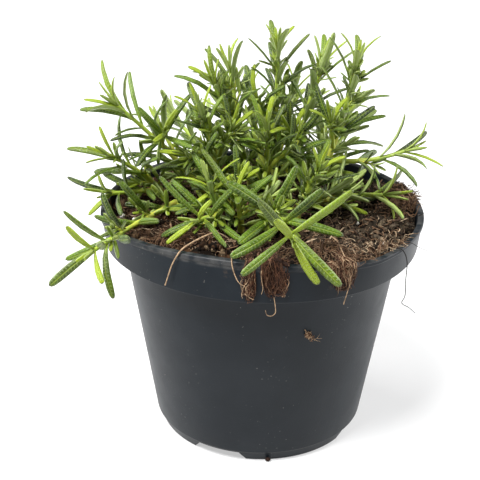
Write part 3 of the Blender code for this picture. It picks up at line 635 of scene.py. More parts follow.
# A block through the ring of feet, narrower at its roof than at its foot
def addNotch(bm, centre, steps=8):
    inner = potShape["ringFootRadius"] - 3 * potShape["ringThickness"]
    outer = potShape["wallFootRadius"] + 1 * mm
    levels = ((-1 * mm, potShape["notchFoot"] * 1.06),
              (potShape["ringHeight"] - 0.5 * mm, potShape["notchRoof"]))
    rings = []
    for i in range(steps + 1):
        ring = []
        for radius, level in ((inner, 0), (outer, 0), (outer, 1), (inner, 1)):
            height, width = levels[level]
            a = centre + width * (i / steps - 0.5)
            ring.append(bm.verts.new((radius * math.sin(a), -radius * math.cos(a), height)))
        rings.append(ring)
    for one, two in zip(rings, rings[1:]):
        for k in range(4):
            bm.faces.new((one[k], one[(k + 1) % 4], two[(k + 1) % 4], two[k]))
    bm.faces.new(rings[0])
    bm.faces.new(rings[-1])


def makePot():
    shape = potShape
    bandFoot = shape["height"] - shape["bandHeight"]
    lipUnder = shape["height"] - shape["lipThickness"]
    floorTop = shape["floorUnderside"] + shape["floorThickness"]
    rim, wall, edge = shape["rimRadius"], shape["wallThickness"], shape["chamfer"]
    ringInner = shape["ringFootRadius"] - shape["ringThickness"]
    corners = (
        (0, shape["floorUnderside"], 0),
        (ringInner, shape["floorUnderside"], 0.5 * mm),
        (ringInner, 0, 0.3 * mm),
        (shape["ringFootRadius"], 0, 0.4 * mm),
        (shape["ringTopRadius"], shape["ringHeight"], 0.3 * mm),
        (shape["wallFootRadius"], shape["ringHeight"] + edge, 0.4 * mm),
        (shape["wallTopRadius"], bandFoot, 0.8 * mm),
        (shape["bandFootRadius"], bandFoot, 0.5 * mm),
        (rim - shape["lipOverhang"], lipUnder - edge, 0.2 * mm),
        (rim, lipUnder, 0.3 * mm),
        (rim, shape["height"], 0.5 * mm),
        (rim - shape["lipWidth"], shape["height"], 0.4 * mm),
        (rim - shape["lipWidth"], lipUnder, 0),
        (shape["bandFootRadius"] - wall, bandFoot + wall, 1.0 * mm),
        (shape["wallTopRadius"] - wall, bandFoot + wall, 0.8 * mm),
        (shape["wallFootRadius"] - wall, floorTop, 1.2 * mm),
        (0, floorTop, 0),
    )
    points = filleted(corners, shape["filletSteps"])
    # a few rings up the wall let it waver
    wallRings = []
    for one, two in zip(points, points[1:]):
        wallRings.append(one)
        count = int(abs(two[1] - one[1]) // (12 * mm))
        wallRings += [one + (two - one) * i / (count + 1) for i in range(1, count + 1)]
    wallRings.append(points[-1])
    bm = lathed(wallRings, shape["sides"])
    for vert in bm.verts:
        radius = math.hypot(vert.co.x, vert.co.y)
        if radius > 30 * mm:
            spot = Vector((vert.co.x, vert.co.y, vert.co.z * 0.5)) / (45 * mm)
            inward = shape["waver"] * (noise.noise(spot) - 1) * 0.5 * min(vert.co.z / (20 * mm), 1)
            vert.co.x *= 1 + inward / radius
            vert.co.y *= 1 + inward / radius
        vert.co = pressed(*vert.co)
    pot = makeObject("nursery_pot", meshFrom(bm, "nursery_pot"))
    bm = bmesh.new()
    for i in range(shape["notchCount"]):
        addNotch(bm, shape["notchFirst"] + i * math.tau / shape["notchCount"])
    holes = [(0, 0, shape["drainCentreRadius"])]
    for i in range(shape["drainCount"]):
        angle = (i + 0.5) * math.tau / shape["drainCount"]
        holes.append((shape["drainCircle"] * math.cos(angle), shape["drainCircle"] * math.sin(angle),
                      shape["drainRadius"]))
    for x, y, radius in holes:
        bmesh.ops.create_cone(bm, cap_ends=True, segments=28, radius1=radius, radius2=radius,
                              depth=6 * mm, matrix=Matrix.Translation((x, y, 3.7 * mm)))
    bmesh.ops.recalc_face_normals(bm, faces=bm.faces)
    cutter = makeObject("cutter", meshFrom(bm, "cutter"))
    cut = pot.modifiers.new("cut", "BOOLEAN")
    cut.operation = "DIFFERENCE"
    cut.object = cutter
    bpy.context.view_layer.update()
    evaluated = pot.evaluated_get(bpy.context.evaluated_depsgraph_get())
    mesh = bpy.data.meshes.new_from_object(evaluated)
    dropObjects([pot, cutter])
    mesh.materials.clear()
    mesh.materials.append(plasticFinish())
    mesh.shade_smooth()
    mesh.set_sharp_from_angle(angle=math.radians(38))
    dress(makeObject("nursery_pot", mesh), "pot_plastic", "pot")


# Soil

soilShape = {
    "edgeDrop": 3.6 * mm,
    "roughness": 1.3 * mm,
    "grain": 11 * mm,
    "fineShare": 0.6,
    "fineScale": 2.3,
    # heaps and hollows in millimetres: x, y, radius, height
    "heaps": ((56, 16, 16, 6.0), (-20, -44, 24, 4.5), (26, -46, 20, 3.5), (0, 10, 34, 3.5),
              (-56, 2, 9, -4.0), (52, -22, 12, -2.5)),
    "gap": 0.3 * mm,
    "rings": 64,
    "sides": 176,
    "clods": 2.3 * mm,
    "clodGrain": 5.0 * mm,
    "crumbs": 0.7 * mm,
    "crumbGrain": 1.7 * mm,
    "seed": 4,
}

# What lies on the soil: pieces for each square metre, smallest and largest scale, tilt, how
# far above the soil, and the edge
strewn = {
    "soil_lumps": dict(density=24000, sizes=(1.3, 2.6), tilt=3.0, lift=-0.3 * mm, edge=58.0 * mm),
    "soil_crumbs": dict(density=230000, sizes=(0.35, 1.4), tilt=3.0, lift=0.0, edge=59.6 * mm),
    "soil_fibres": dict(density=300000, sizes=(0.5, 1.2), tilt=0.9, lift=0.5 * mm, edge=58.6 * mm),
    "soil_chips": dict(density=45000, sizes=(0.6, 1.3), tilt=0.45, lift=0.8 * mm, edge=57.0 * mm),
}


def soilHeight(x, y):
    shape = soilShape
    height = potShape["height"] - shape["edgeDrop"]
    for hx, hy, radius, rise in shape["heaps"]:
        away = math.hypot(x - hx * mm, y - hy * mm) / (radius * mm)
        if away < 1:
            height += rise * mm * (1 - away * away) ** 2
    place = Vector((x, y, 0)) / shape["grain"]
    rough = noise.noise(place) + shape["fineShare"] * noise.noise(place * shape["fineScale"])
    return height + shape["roughness"] * rough


# How far the clods and crumbs stand above the soil's mean height
def soilRelief(x, y):
    spot = Vector((x, y, 0.013))
    clod = 0.5 - abs(noise.noise(spot / soilShape["clodGrain"])) * 2
    return soilShape["clods"] * clod + soilShape["crumbs"] * noise.noise(spot / soilShape["crumbGrain"])


def soilSurface(x, y, radius, edge):
    fade = min(1.0, 0.25 + (edge - radius) / (4 * mm))
    return soilHeight(x, y) + fade * soilRelief(x, y)


def polarSheet(bm, edge, rings, sides, height):
    centre = bm.verts.new((0, 0, height(0, 0, 0, edge)))
    before, rim = None, None
    for i in range(1, rings + 1):
        radius = edge * (i / rings) ** 0.8
        ring = []
        for k in range(sides):
            a = math.tau * (k + 0.5 * (i % 2)) / sides
            x, y = radius * math.cos(a), radius * math.sin(a)
            ring.append(bm.verts.new((x, y, height(x, y, radius, edge))))
        for k in range(sides):
            after = (k + 1) % sides
            if before is None:
                bm.faces.new((centre, ring[k], ring[after]))
            elif i % 2:
                bm.faces.new((before[k], ring[k], before[after]))
                bm.faces.new((ring[k], ring[after], before[after]))
            else:
                bm.faces.new((before[k], ring[k], ring[after]))
                bm.faces.new((before[k], ring[after], before[after]))
        before = ring
    return before


def makeSoil():
    shape = soilShape
    bandFoot = potShape["height"] - potShape["bandHeight"]
    floorTop = potShape["floorUnderside"] + potShape["floorThickness"]
    slack = potShape["wallThickness"] + 1.3 * shape["gap"]
    edge = potShape["bandFootRadius"] - slack
    bm = bmesh.new()
    rim = polarSheet(bm, edge, shape["rings"], shape["sides"], soilSurface)
    low = bandFoot + potShape["wallThickness"] + shape["gap"]
    for radius, height in ((edge - shape["gap"], low), (potShape["wallTopRadius"] - slack, low),
                           (potShape["wallFootRadius"] - slack, floorTop + shape["gap"])):
        ring = [bm.verts.new((*(Vector(vert.co.xy).normalized() * radius), height)) for vert in rim]
        for k in range(len(rim)):
            after = (k + 1) % len(rim)
            bm.faces.new((rim[k], ring[k], ring[after], rim[after]))
        rim = ring
    bm.faces.new(rim)
    for vert in bm.verts:
        vert.co = pressed(*vert.co)
    bmesh.ops.recalc_face_normals(bm, faces=bm.faces)
    mesh = meshFrom(bm, "soil_bed")
    # the relief of the clods drives the painted shade in the bed's hollows
    reliefs = [soilRelief(vert.co.x, vert.co.y) / shape["clods"] for vert in mesh.vertices]
    setAttribute(mesh, "relief", "FLOAT", reliefs)
    mesh.materials.append(peatFinish())
    mesh.shade_smooth()
    dress(makeObject("soil_bed", mesh), "peat", "soil")


def scatterGround(edge, lift):
    bm = bmesh.new()
    polarSheet(bm, edge, 40, 120, lambda x, y, radius, edge: soilSurface(x, y, radius, edge + 2 * mm))
    for vert in bm.verts:
        vert.co = pressed(*vert.co)
        vert.co.z += lift
    bmesh.ops.recalc_face_normals(bm, faces=bm.faces)
    mesh = meshFrom(bm, "ground")
    if mesh.polygons[0].normal.z < 0:
        mesh.flip_normals()
    return makeObject("ground", mesh)


def shapeCollection(name):
    collection = bpy.data.collections.new(name)
    bpy.context.scene.collection.children.link(collection)
    return collection


def closeCollection(collection):
    dropObjects(collection.objects)
    bpy.data.collections.remove(collection)


# Irregular lumps of about 1 mm
def crumbShapes(detail):
    draw = random.Random(21)
    collection = shapeCollection("crumb shapes")
    for number in range(7):
        bm = bmesh.new()
        bmesh.ops.create_icosphere(bm, subdivisions=detail, radius=1 * mm)
        for vert in bm.verts:
            vert.co *= draw.uniform(0.6, 1.15)
            vert.co.x *= 1.3
            vert.co.z *= 0.8
        collection.objects.link(bpy.data.objects.new(f"crumb{number}", meshFrom(bm, "crumb")))
    return collection


# A thin closed tube through a few points, with pinched ends
def addShred(bm, points, radii, sides=3):
    across = unit(np.cross(points[1] - points[0], (0.3, 0.2, 1.0)))
    rings = []
    for i, point in enumerate(points):
        ahead = unit(points[min(i + 1, len(points) - 1)] - points[max(i - 1, 0)])
        across = unit(across - ahead * float(across @ ahead))
        other = np.cross(ahead, across)
        rings.append([bm.verts.new(point + (across * math.cos(math.tau * k / sides)
                                            + other * math.sin(math.tau * k / sides)) * radii[i])
                      for k in range(sides)])
    for one, two in zip(rings, rings[1:]):
        for k in range(sides):
            after = (k + 1) % sides
            bm.faces.new((one[k], one[after], two[after], two[k]))
    bm.faces.new(rings[0])
    bm.faces.new(rings[-1])


fibreForms = {                  # length and radius in millimetres, how much they curl, and how many shapes
    "soil_fibres": dict(length=(2.0, 6.0), radius=(0.09, 0.22), curl=3.2, count=12),
    "soil_chips": dict(length=(4.5, 10.0), radius=(0.22, 0.42), curl=0.9, count=8),
}


# Curled fibres and wood chips of the peat
def fibreShapes(form):
    draw = random.Random(8)
    collection = shapeCollection("fibre shapes")
    for number in range(form["count"]):
        bm = bmesh.new()
        length = draw.uniform(*form["length"]) * mm
        bend, hook = (draw.uniform(-form["curl"], form["curl"]) for _ in range(2))
        place = np.zeros(3)
        heading, rise = 0.0, draw.uniform(-0.1, 0.6)
        points = [place]
        for step in range(7):
            heading += (bend + hook * step / 6) / 7
            ahead = np.array((math.cos(heading), math.sin(heading), rise * (1 - step / 3)))
            place = place + unit(ahead) * length / 7
            points.append(place)
        points = np.array(points)
        points -= points.mean(0)
        thick = draw.uniform(*form["radius"]) * mm
        addShred(bm, points, [thick * share for share in (0.5, 0.9, 1.1, 0.9, 1.1, 0.9, 0.6, 0.2)])
        bmesh.ops.recalc_face_normals(bm, faces=bm.faces)
        collection.objects.link(bpy.data.objects.new(f"fibre{number}", meshFrom(bm, "fibre")))
    return collection


def strewSoil(scatterTree, crumbs, fibres):
    for number, (name, layer) in enumerate(strewn.items()):
        if name in fibreForms:
            collection, material = fibreShapes(fibreForms[name]), fibres
        else:
            collection, material = crumbShapes(1 + (name == "soil_lumps")), crumbs
        piece = grown(name, scatterGround(layer["edge"], layer["lift"]), scatterTree,
                      Shapes=collection, Density=float(layer["density"]), Smallest=layer["sizes"][0],
                      Largest=layer["sizes"][1], Tilt=layer["tilt"], Seed=soilShape["seed"] + number,
                      Material=material)
        closeCollection(collection)
        dress(piece, "peat")


# Layout of the plants, by the same rule and the same draws as the solids

stemRule = {
    "rootDepth": 9 * mm,
    "rootShow": 2.5 * mm,
    "rootRise": 1.2,
    "steps": 6,
    "sideSteps": 4,
    "radius": 1.25 * mm,
    "sideRadius": 0.95 * mm,
    "tipRadius": 0.6 * mm,
}

leafRule = {
    "width": 3.0 * mm,
    "stations": (0.0, 0.42, 0.88, 1.0),
    "widths": (0.5, 1.0, 0.8, 0.2),
    "edge": 0.55 * mm,
    "root": 0.6,
    "tipShare": 0.7,
    "tipSpacing": 3.6 * mm,
    "bareFoot": 11 * mm,
    "bareShare": 0.3,
    "bareSide": 5 * mm,
    "spreadLow": math.radians(62),
    "turnSway": 12,
    "openSway": 9,
    "lengths": (0.82, 1.1),
    "bends": (0.05, 0.28),
    "clearance": 0.4 * mm,
    "soilClearance": 1.3 * mm,
    "near": 4 * mm,
    "seed": 13,
    "tries": 14,
    "tryTurn": math.radians(7),
    "tryShorter": 0.02,
}

# Angle round the pot from the front, strands, how far they hang and spread, and stand off it
tufts = {
    "root_tuft_left": dict(angle=-4, strands=3, hang=13, width=3, off=1.5),
    "root_tuft_middle": dict(angle=5, strands=4, hang=14, width=7, off=1.5),
    "root_tuft_right": dict(angle=28, strands=3, hang=14, width=6, off=2.3),
}

tuftRule = {
    "radius": 57 * mm,
    "clod": 2.6 * mm,
    "thick": 1.1 * mm,
    "tipThick": 0.4 * mm,
    "rise": 0.3 * mm,
    "sway": 0.8 * mm,
    "hangs": (0.6, 1.0),
    "seed": 5,
}

# perlite grains on the soil in millimetres: x, y, radius
grains = ((-56, -6, 1.4), (-51, -10, 1.0), (47, -27, 1.0), (38, -10, 0.9), (-30, 48, 1.3))


# In degrees and millimetres: heading 0 is to the right and 90 to the back, lean is from
# upright, arch is how far the middle bows up, turn is that of the last pair of leaves and
# opening its angle from the stem, spacing is from pair to pair, leaves and girth are their
# length and relative width
def shoot(heading, lean, length, arch=0, turn=0, opening=27, spacing=8, leaves=21, girth=1.0,
          root=None, at=None):
    return dict(heading=heading, lean=lean, length=length, arch=arch, turn=turn, opening=opening,
                spacing=spacing, leaves=leaves, girth=girth, root=root, at=at)


plants = {
    "stem_left_low": (
        shoot(245, 84, 65, arch=3, turn=80, opening=50, spacing=14, leaves=22, girth=1.2,
              root=(-34, 8)),
    ),
    "stem_left_middle": (
        shoot(215, 46, 31, arch=3, turn=70, opening=35, spacing=11, leaves=23, root=(-42, 18)),
        shoot(232, 76, 29, turn=25, opening=40, spacing=13, leaves=20, at=0.3),
    ),
    "stem_left_high": (
        shoot(200, 40, 55, arch=3, opening=35, spacing=11, leaves=23, root=(-25, 20)),
        shoot(140, 35, 15, arch=1, turn=50, at=0.45),
        shoot(280, 50, 15, arch=1, turn=80, at=0.6),
    ),
    "stem_centre_left": (
        shoot(200, 15, 40, arch=1, turn=40, root=(-15, 10)),
        shoot(220, 50, 20, arch=2, turn=10, at=0.4),
        shoot(310, 30, 18, arch=1, turn=55, at=0.55),
    ),
    "stem_top_left": (
        shoot(210, 20, 50, arch=4, root=(-5, 20)),
        shoot(140, 10, 28, arch=1, turn=60, at=0.55),
        shoot(120, 45, 20, arch=2, turn=20, at=0.4),
    ),
    "stem_top": (
        shoot(270, 5, 60, arch=1, turn=30, root=(5, 25)),
        shoot(225, 35, 20, arch=-1, turn=80, at=0.5),
        shoot(50, 30, 20, arch=-1, turn=10, at=0.45),
    ),
    "stem_top_right": (
        shoot(30, 15, 55, arch=2, turn=10, root=(10, 15)),
        shoot(260, 40, 20, arch=2, turn=60, at=0.4),
    ),
    "stem_right_high": (
        shoot(0, 15, 60, arch=-3, turn=15, root=(20, 10)),
        shoot(260, 30, 15, turn=45, at=0.5),
        shoot(355, 80, 31, arch=-4, turn=5, opening=40, spacing=13, leaves=23, at=0.42),
    ),
    "stem_right_low": (
        shoot(355, 75, 35, arch=4, turn=10, opening=60, spacing=16, leaves=23, girth=1.1,
              root=(15, 2)),
    ),
    "stem_front_left": (
        shoot(245, 62, 24, arch=4, turn=35, opening=62, leaves=22, root=(-15, -18)),
        shoot(150, 15, 14, arch=1, turn=20, opening=60, leaves=22, at=0.5),
    ),
    "stem_middle_left": (
        shoot(240, 42, 22, arch=3, turn=30, opening=65, leaves=22, root=(-12, -5)),
        shoot(290, 35, 20, arch=1, turn=40, at=0.4),
    ),
    "stem_front": (
        shoot(282, 73, 50, arch=9, turn=28, opening=70, spacing=15, leaves=26, girth=1.3,
              root=(1, -15)),
    ),
    "stem_front_high": (
        shoot(255, 25, 20, arch=2, turn=50, leaves=22, root=(-8, -22)),
        shoot(20, 60, 14, arch=2, opening=45, at=0.5),
    ),
    "stem_centre": (
        shoot(260, 10, 35, arch=2, turn=70, root=(2, 2)),
        shoot(130, 30, 20, turn=30, at=0.5),
        shoot(330, 40, 18, arch=1, turn=15, at=0.55),
    ),
    "stem_centre_right": (
        shoot(325, 20, 25, arch=2, turn=20, root=(14, -8)),
        shoot(25, 70, 20, arch=2, turn=60, at=0.4),
    ),
    "stem_back": (
        shoot(135, 15, 35, arch=2, turn=15, root=(0, 40)),
        shoot(30, 40, 20, arch=1, turn=75, at=0.5),
    ),
    "stem_back_left": (
        shoot(145, 45, 30, arch=3, turn=55, root=(-20, 38)),
        shoot(100, 55, 20, arch=3, at=0.4),
    ),
    "stem_back_right": (
        shoot(30, 30, 35, arch=2, turn=35, root=(22, 34)),
        shoot(55, 65, 25, arch=2, at=0.35),
        shoot(85, 60, 22, arch=2, at=0.45),
    ),
}


# Height of what lies under a point: soil, the pot's lip, or the table
def ground(point):
    x, y = point[0], point[1]
    radius = math.hypot(x, y)
    share = pressShare(x, y)
    rim = potShape["rimRadius"] - share * rimPress["inAtTop"]
    if radius > rim + 1 * mm:
        return 0.0
    if radius > rim - potShape["lipWidth"] - 1 * mm:
        return potShape["height"] + share * rimPress["lift"]
    return soilHeight(x, y) + share * rimPress["lift"]


def curvePoint(start, middle, end, t):
    return (1 - t) ** 2 * start + 2 * t * (1 - t) * middle + t * t * end


def lengthsAlong(points):
    steps = np.linalg.norm(np.diff(points, axis=0), axis=1)
    return np.concatenate(([0.0], np.cumsum(steps)))


def placeOn(points, along, distance):
    i = min(max(int(np.searchsorted(along, distance)) - 1, 0), len(points) - 2)
    share = (distance - along[i]) / (along[i + 1] - along[i])
    return points[i] + share * (points[i + 1] - points[i]), unit(points[i + 1] - points[i])


def stemPath(entry, parent):
    heading, lean = math.radians(entry["heading"]), math.radians(entry["lean"])
    flat = np.array((math.cos(heading), math.sin(heading), 0.0))
    chord = flat * math.sin(lean) + up * math.cos(lean)
    bow = up * math.sin(lean) - flat * math.cos(lean)
    if entry["root"]:
        x, y = (value * mm for value in entry["root"])
        start = np.array((x, y, ground((x, y))))
    else:
        along = lengthsAlong(parent)
        start, _ = placeOn(parent, along, entry["at"] * along[-1])
    tip = start + chord * entry["length"] * mm
    middle = (start + tip) / 2 + bow * entry["arch"] * mm
    feet = []
    if entry["root"]:
        first = unit(middle - start)
        first = unit(np.array((first[0], first[1], max(first[2], 0) + stemRule["rootRise"])))
        feet = [start - first * stemRule["rootDepth"]]
        start = start + first * stemRule["rootShow"]
    steps = stemRule["steps"] if entry["root"] else stemRule["sideSteps"]
    points = [curvePoint(start, middle, tip, t) for t in np.linspace(0, 1, steps)]
    for point in points[1:]:
        point[2] = max(point[2], ground(point) + leafRule["soilClearance"] + stemRule["radius"])
    return np.array(feet + points)


def stemRadii(entry, path):
    foot = stemRule["radius"] if entry["root"] else stemRule["sideRadius"]
    radii = np.linspace(foot, stemRule["tipRadius"], len(path))
    if entry["root"]:
        radii[1] = foot
    return radii


# Distances between each segment of one list and each of another
def segmentGaps(a0, a1, b0, b1):
    a0, a1, b0, b1 = a0[:, None], a1[:, None], b0[None], b1[None]
    tiny = 1e-18
    u, v, w = a1 - a0, b1 - b0, a0 - b0
    uu, vv, uv = (u * u).sum(-1), (v * v).sum(-1), (u * v).sum(-1)
    uw, vw = (u * w).sum(-1), (v * w).sum(-1)
    s = np.clip((uv * vw - vv * uw) / (uu * vv - uv * uv + tiny), 0, 1)
    t = np.clip((uv * s + vw) / (vv + tiny), 0, 1)
    s = np.clip((uv * t - uw) / (uu + tiny), 0, 1)
    away = w + u * s[..., None] - v * t[..., None]
    return np.sqrt((away * away).sum(-1))


# The rods that stems and leaves take up, which keep one plant clear of another
rods = {"start": np.zeros((0, 3)), "end": np.zeros((0, 3)), "radius": np.zeros(0),
        "plant": np.zeros(0, int)}


def addRods(start, end, radius, plant):
    rods["start"] = np.vstack((rods["start"], start))
    rods["end"] = np.vstack((rods["end"], end))
    rods["radius"] = np.concatenate((rods["radius"], radius))
    rods["plant"] = np.concatenate((rods["plant"], np.full(len(radius), plant)))


def rodGap(start, end, radius, chosen):
    low = np.minimum(start, end).min(0) - leafRule["near"]
    high = np.maximum(start, end).max(0) + leafRule["near"]
    near = chosen & (np.maximum(rods["start"], rods["end"]) > low).all(1)
    near &= (np.minimum(rods["start"], rods["end"]) < high).all(1)
    if not near.any():
        return 1.0
    gaps = segmentGaps(start, end, rods["start"][near], rods["end"][near])
    return float((gaps - radius[:, None] - rods["radius"][near][None]).min())


def leafRows(start, tip, arch, axis, girth):
    along = unit(tip - start)
    face = unit(axis - along * float(axis @ along))
    middle = (start + tip) / 2 + face * arch
    centres = np.array([curvePoint(start, middle, tip, t) for t in leafRule["stations"]])
    widths = np.array(leafRule["widths"]) * girth * leafRule["width"] / 2
    return centres, np.cross(along, face)[None] * widths[:, None], face


def leafRods(centres, edges):
    start, end = [], []
    for side in (-1, 0, 1):
        line = centres + edges * side * 0.8
        start.append(line[:-1])
        end.append(line[1:])
    return np.vstack(start), np.vstack(end)


def aboveGround(centres, edges):
    for side in (-1, 0, 1):
        line = centres + edges * side
        for a, b in zip(line, line[1:]):
            for t in (0.35, 0.7, 1.0):
                point = a + (b - a) * t
                if point[2] < ground(point) + leafRule["soilClearance"]:
                    return False
    return True


def pairPlaces(length, first, step):
    places = []
    where = length - 0.5 * mm
    tipStep = leafRule["tipSpacing"]
    while where > first:
        places.append(where)
        where -= step + (tipStep - step) * (where / length) ** 2
    return places


# A leaf that is clear of the soil and of the other plants, turned or shortened to fit
def placeLeaf(index, start, axis, turn, opening, length, bend, root, girth):
    side = unit(np.cross(axis, (0.31, 0.95, 0.1)))
    crossing = None
    for trial in range(leafRule["tries"]):
        wag = turn + leafRule["tryTurn"] * ((trial + 1) // 2) * (-1) ** trial
        reach = length * (1 - leafRule["tryShorter"] * trial)
        out = side * math.cos(wag) + np.cross(axis, side) * math.sin(wag)
        heading = axis * math.cos(opening) + out * math.sin(opening)
        tip = start + heading * reach
        centres, edges, face = leafRows(start + out * root, tip, bend * reach, axis, girth)
        if not aboveGround(centres, edges):
            continue
        ends = leafRods(centres, edges)
        radius = np.full(len(ends[0]), leafRule["edge"])
        if rodGap(*ends, radius, rods["plant"] != index) < leafRule["clearance"]:
            continue
        leaf = dict(start=centres[0], tip=centres[-1], face=face, arch=bend * reach, axis=axis,
                    girth=girth)
        found = leaf, ends, radius
        outer = [i for i in range(len(radius)) if i % 3]
        if rodGap(ends[0][outer], ends[1][outer], radius[outer], rods["plant"] == index) > 0:
            return found
        crossing = crossing or found
    return crossing


def addPairs(leaves, index, entry, path, draw):
    along = lengthsAlong(path)
    radii = stemRadii(entry, path)
    bare = min(leafRule["bareFoot"], leafRule["bareShare"] * entry["length"] * mm)
    first = stemRule["rootDepth"] + bare if entry["root"] else min(leafRule["bareSide"], bare)
    for k, where in enumerate(pairPlaces(along[-1], first, entry["spacing"] * mm)):
        start, axis = placeOn(path, along, where)
        share = where / along[-1]
        root = leafRule["root"] * float(np.interp(where, along, radii))
        tipSpread = math.radians(entry["opening"])
        spread = leafRule["spreadLow"] + (tipSpread - leafRule["spreadLow"]) * share ** 3
        size = entry["leaves"] * mm * (leafRule["tipShare"] if k == 0 else 1.0)
        for half in (0, 1):
            sway = draw.uniform(-leafRule["turnSway"], leafRule["turnSway"])
            turn = math.radians(entry["turn"] + 90 * k + 180 * half + sway)
            sway = draw.uniform(-leafRule["openSway"], leafRule["openSway"])
            opening = spread + math.radians(sway)
            length = size * draw.uniform(*leafRule["lengths"])
            bend = draw.uniform(*leafRule["bends"])
            found = placeLeaf(index, start, axis, turn, opening, length, bend, root,
                              entry["girth"])
            if found:
                addRods(*found[1], found[2], index)
                leaves.append(dict(found[0], rank=k, share=share, half=half))


def clodPlace(tuft):
    angle, radius = math.radians(tuft["angle"]), tuftRule["radius"]
    x, y, _ = pressed(radius * math.sin(angle), -radius * math.cos(angle), potShape["height"])
    return np.array((x, y, ground((x, y)) + tuftRule["clod"]))


def strandPath(tuft, number, draw):
    rule, rim, top = tuftRule, potShape["rimRadius"], potShape["height"]
    across = (number / (tuft["strands"] - 1) - 0.5) * tuft["width"] * mm
    hang = tuft["hang"] * mm * draw.uniform(*rule["hangs"])
    off = tuft["off"] * mm
    over, front = top + off + rule["rise"], rim + off
    stations = ((rim - 1.2 * potShape["lipWidth"], over + 2 * rule["rise"]), (rim + 0.4 * off, over),
                (front, top - 0.4 * hang), (front, top - hang))
    points = [clodPlace(tuft)]
    for step, (radius, height) in enumerate(stations):
        share = (step + 1) / len(stations)
        sway = across * share + draw.uniform(-rule["sway"], rule["sway"])
        angle = math.radians(tuft["angle"]) + sway / radius
        radius += draw.uniform(0, rule["sway"]) * (step > 1)
        points.append(np.array(pressed(radius * math.sin(angle), -radius * math.cos(angle), height)))
    return np.array(points)


def strandsOf(tuft, name):
    draw = random.Random(f"{tuftRule['seed']} {name}")
    paths = [strandPath(tuft, number, draw) for number in range(tuft["strands"])]
    thick, tip = tuftRule["thick"], tuftRule["tipThick"]
    return [(path, np.linspace(thick, tip, len(path))) for path in paths]


def fillWithLooseThings():
    for name, tuft in tufts.items():
        clod = clodPlace(tuft)
        addRods(clod[None], clod[None] + up * 0.1 * mm, np.array([tuftRule["clod"]]), -1)
        for path, radii in strandsOf(tuft, name):
            addRods(path[:-1], path[1:], radii[:-1], -1)
    for x, y, radius in grains:
        x, y = x * mm, y * mm
        rise = radius * mm + leafRule["soilClearance"]
        place = np.array((x, y, ground((x, y)) + rise))
        addRods(place[None], place[None] + up * 0.1 * mm, np.array([radius * mm]), -1)


def growPlants():
    fillWithLooseThings()
    found = {}
    for index, (name, shoots) in enumerate(plants.items()):
        paths = []
        for entry in shoots:
            path = stemPath(entry, paths[0] if paths else None)
            addRods(path[:-1], path[1:], stemRadii(entry, path)[:-1], index)
            paths.append(path)
        found[name] = dict(index=index, shoots=shoots, paths=paths, leaves=[])
    for index, (name, shoots) in enumerate(plants.items()):
        for number, entry in enumerate(shoots):
            draw = random.Random(f"{leafRule['seed']} {name} {number}")
            own = []
            addPairs(own, index, entry, found[name]["paths"][number], draw)
            found[name]["leaves"].append(own)
    return found


# Plants

finePlant = {
    "halfWidth": 1.45 * mm,
    "thickness": 1.1 * mm,
    "stemSides": 10,
    "stemSmoothness": 5,
    "thicken": 1.12,            # of the stems, beside the solids
    "swell": 0.16,              # at each pair of leaves
    "spurChance": 0.7,          # of a short side shoot in a leaf's axil, less far out
    "spurSizes": (9.0, 15.0),
    "spurRadii": (0.6, 0.55, 0.5, 0.4),
    # place along the spur, length of the leaves as a share of its size, opening in degrees
    "spurPairs": ((0.35, 0.9, 52), (0.75, 0.85, 40), (1.0, 0.6, 20)),
    "spurGirth": 0.68,
    "lowestSpur": 4 * mm,
    "lowSpurStep": 4.5 * mm,
    "innerPairs": ((12.5, 14), (8.5, 8)),   # of each tip: length in mm, opening in degrees
    "twist": 0.35,
}


# One leaf of unit size: x across, y from root to tip, z up; u runs round it and v along it
def leafShape(name, stations, widths, section, lean=0.0):
    bm = bmesh.new()
    layer = bm.loops.layers.uv.new("UVMap")
    alongLayer = bm.verts.layers.float.new("along")
    count = len(section)
    rings = []
    for t, width in zip(stations, widths):
        ring = []
        for x, z in section:
            depth = width ** 0.75
            vert = bm.verts.new((x * width + lean * math.sin(t * math.pi), t, z * depth))
            vert[alongLayer] = t
            ring.append(vert)
        rings.append(ring)
    tip = bm.verts.new((0, 1, 0))
    tip[alongLayer] = 1.0
    for i, (one, two) in enumerate(zip(rings, rings[1:])):
        for k in range(count):
            after = (k + 1) % count
            face = bm.faces.new((one[k], two[k], two[after], one[after]))
            for loop, (u, v) in zip(face.loops, ((k, i), (k, i + 1), (k + 1, i + 1), (k + 1, i))):
                loop[layer].uv = (u / count, stations[v])
    for k in range(count):
        face = bm.faces.new((rings[-1][k], tip, rings[-1][(k + 1) % count]))
        for loop, (u, v) in zip(face.loops, ((k, stations[-1]), (k + 0.5, 1), (k + 1, stations[-1]))):
            loop[layer].uv = (u / count, v)
    face = bm.faces.new(rings[0])
    for loop in face.loops:
        loop[layer].uv = (0.25, 0.0)
    bmesh.ops.recalc_face_normals(bm, faces=bm.faces)
    return bpy.data.objects.new(name, meshFrom(bm, name))


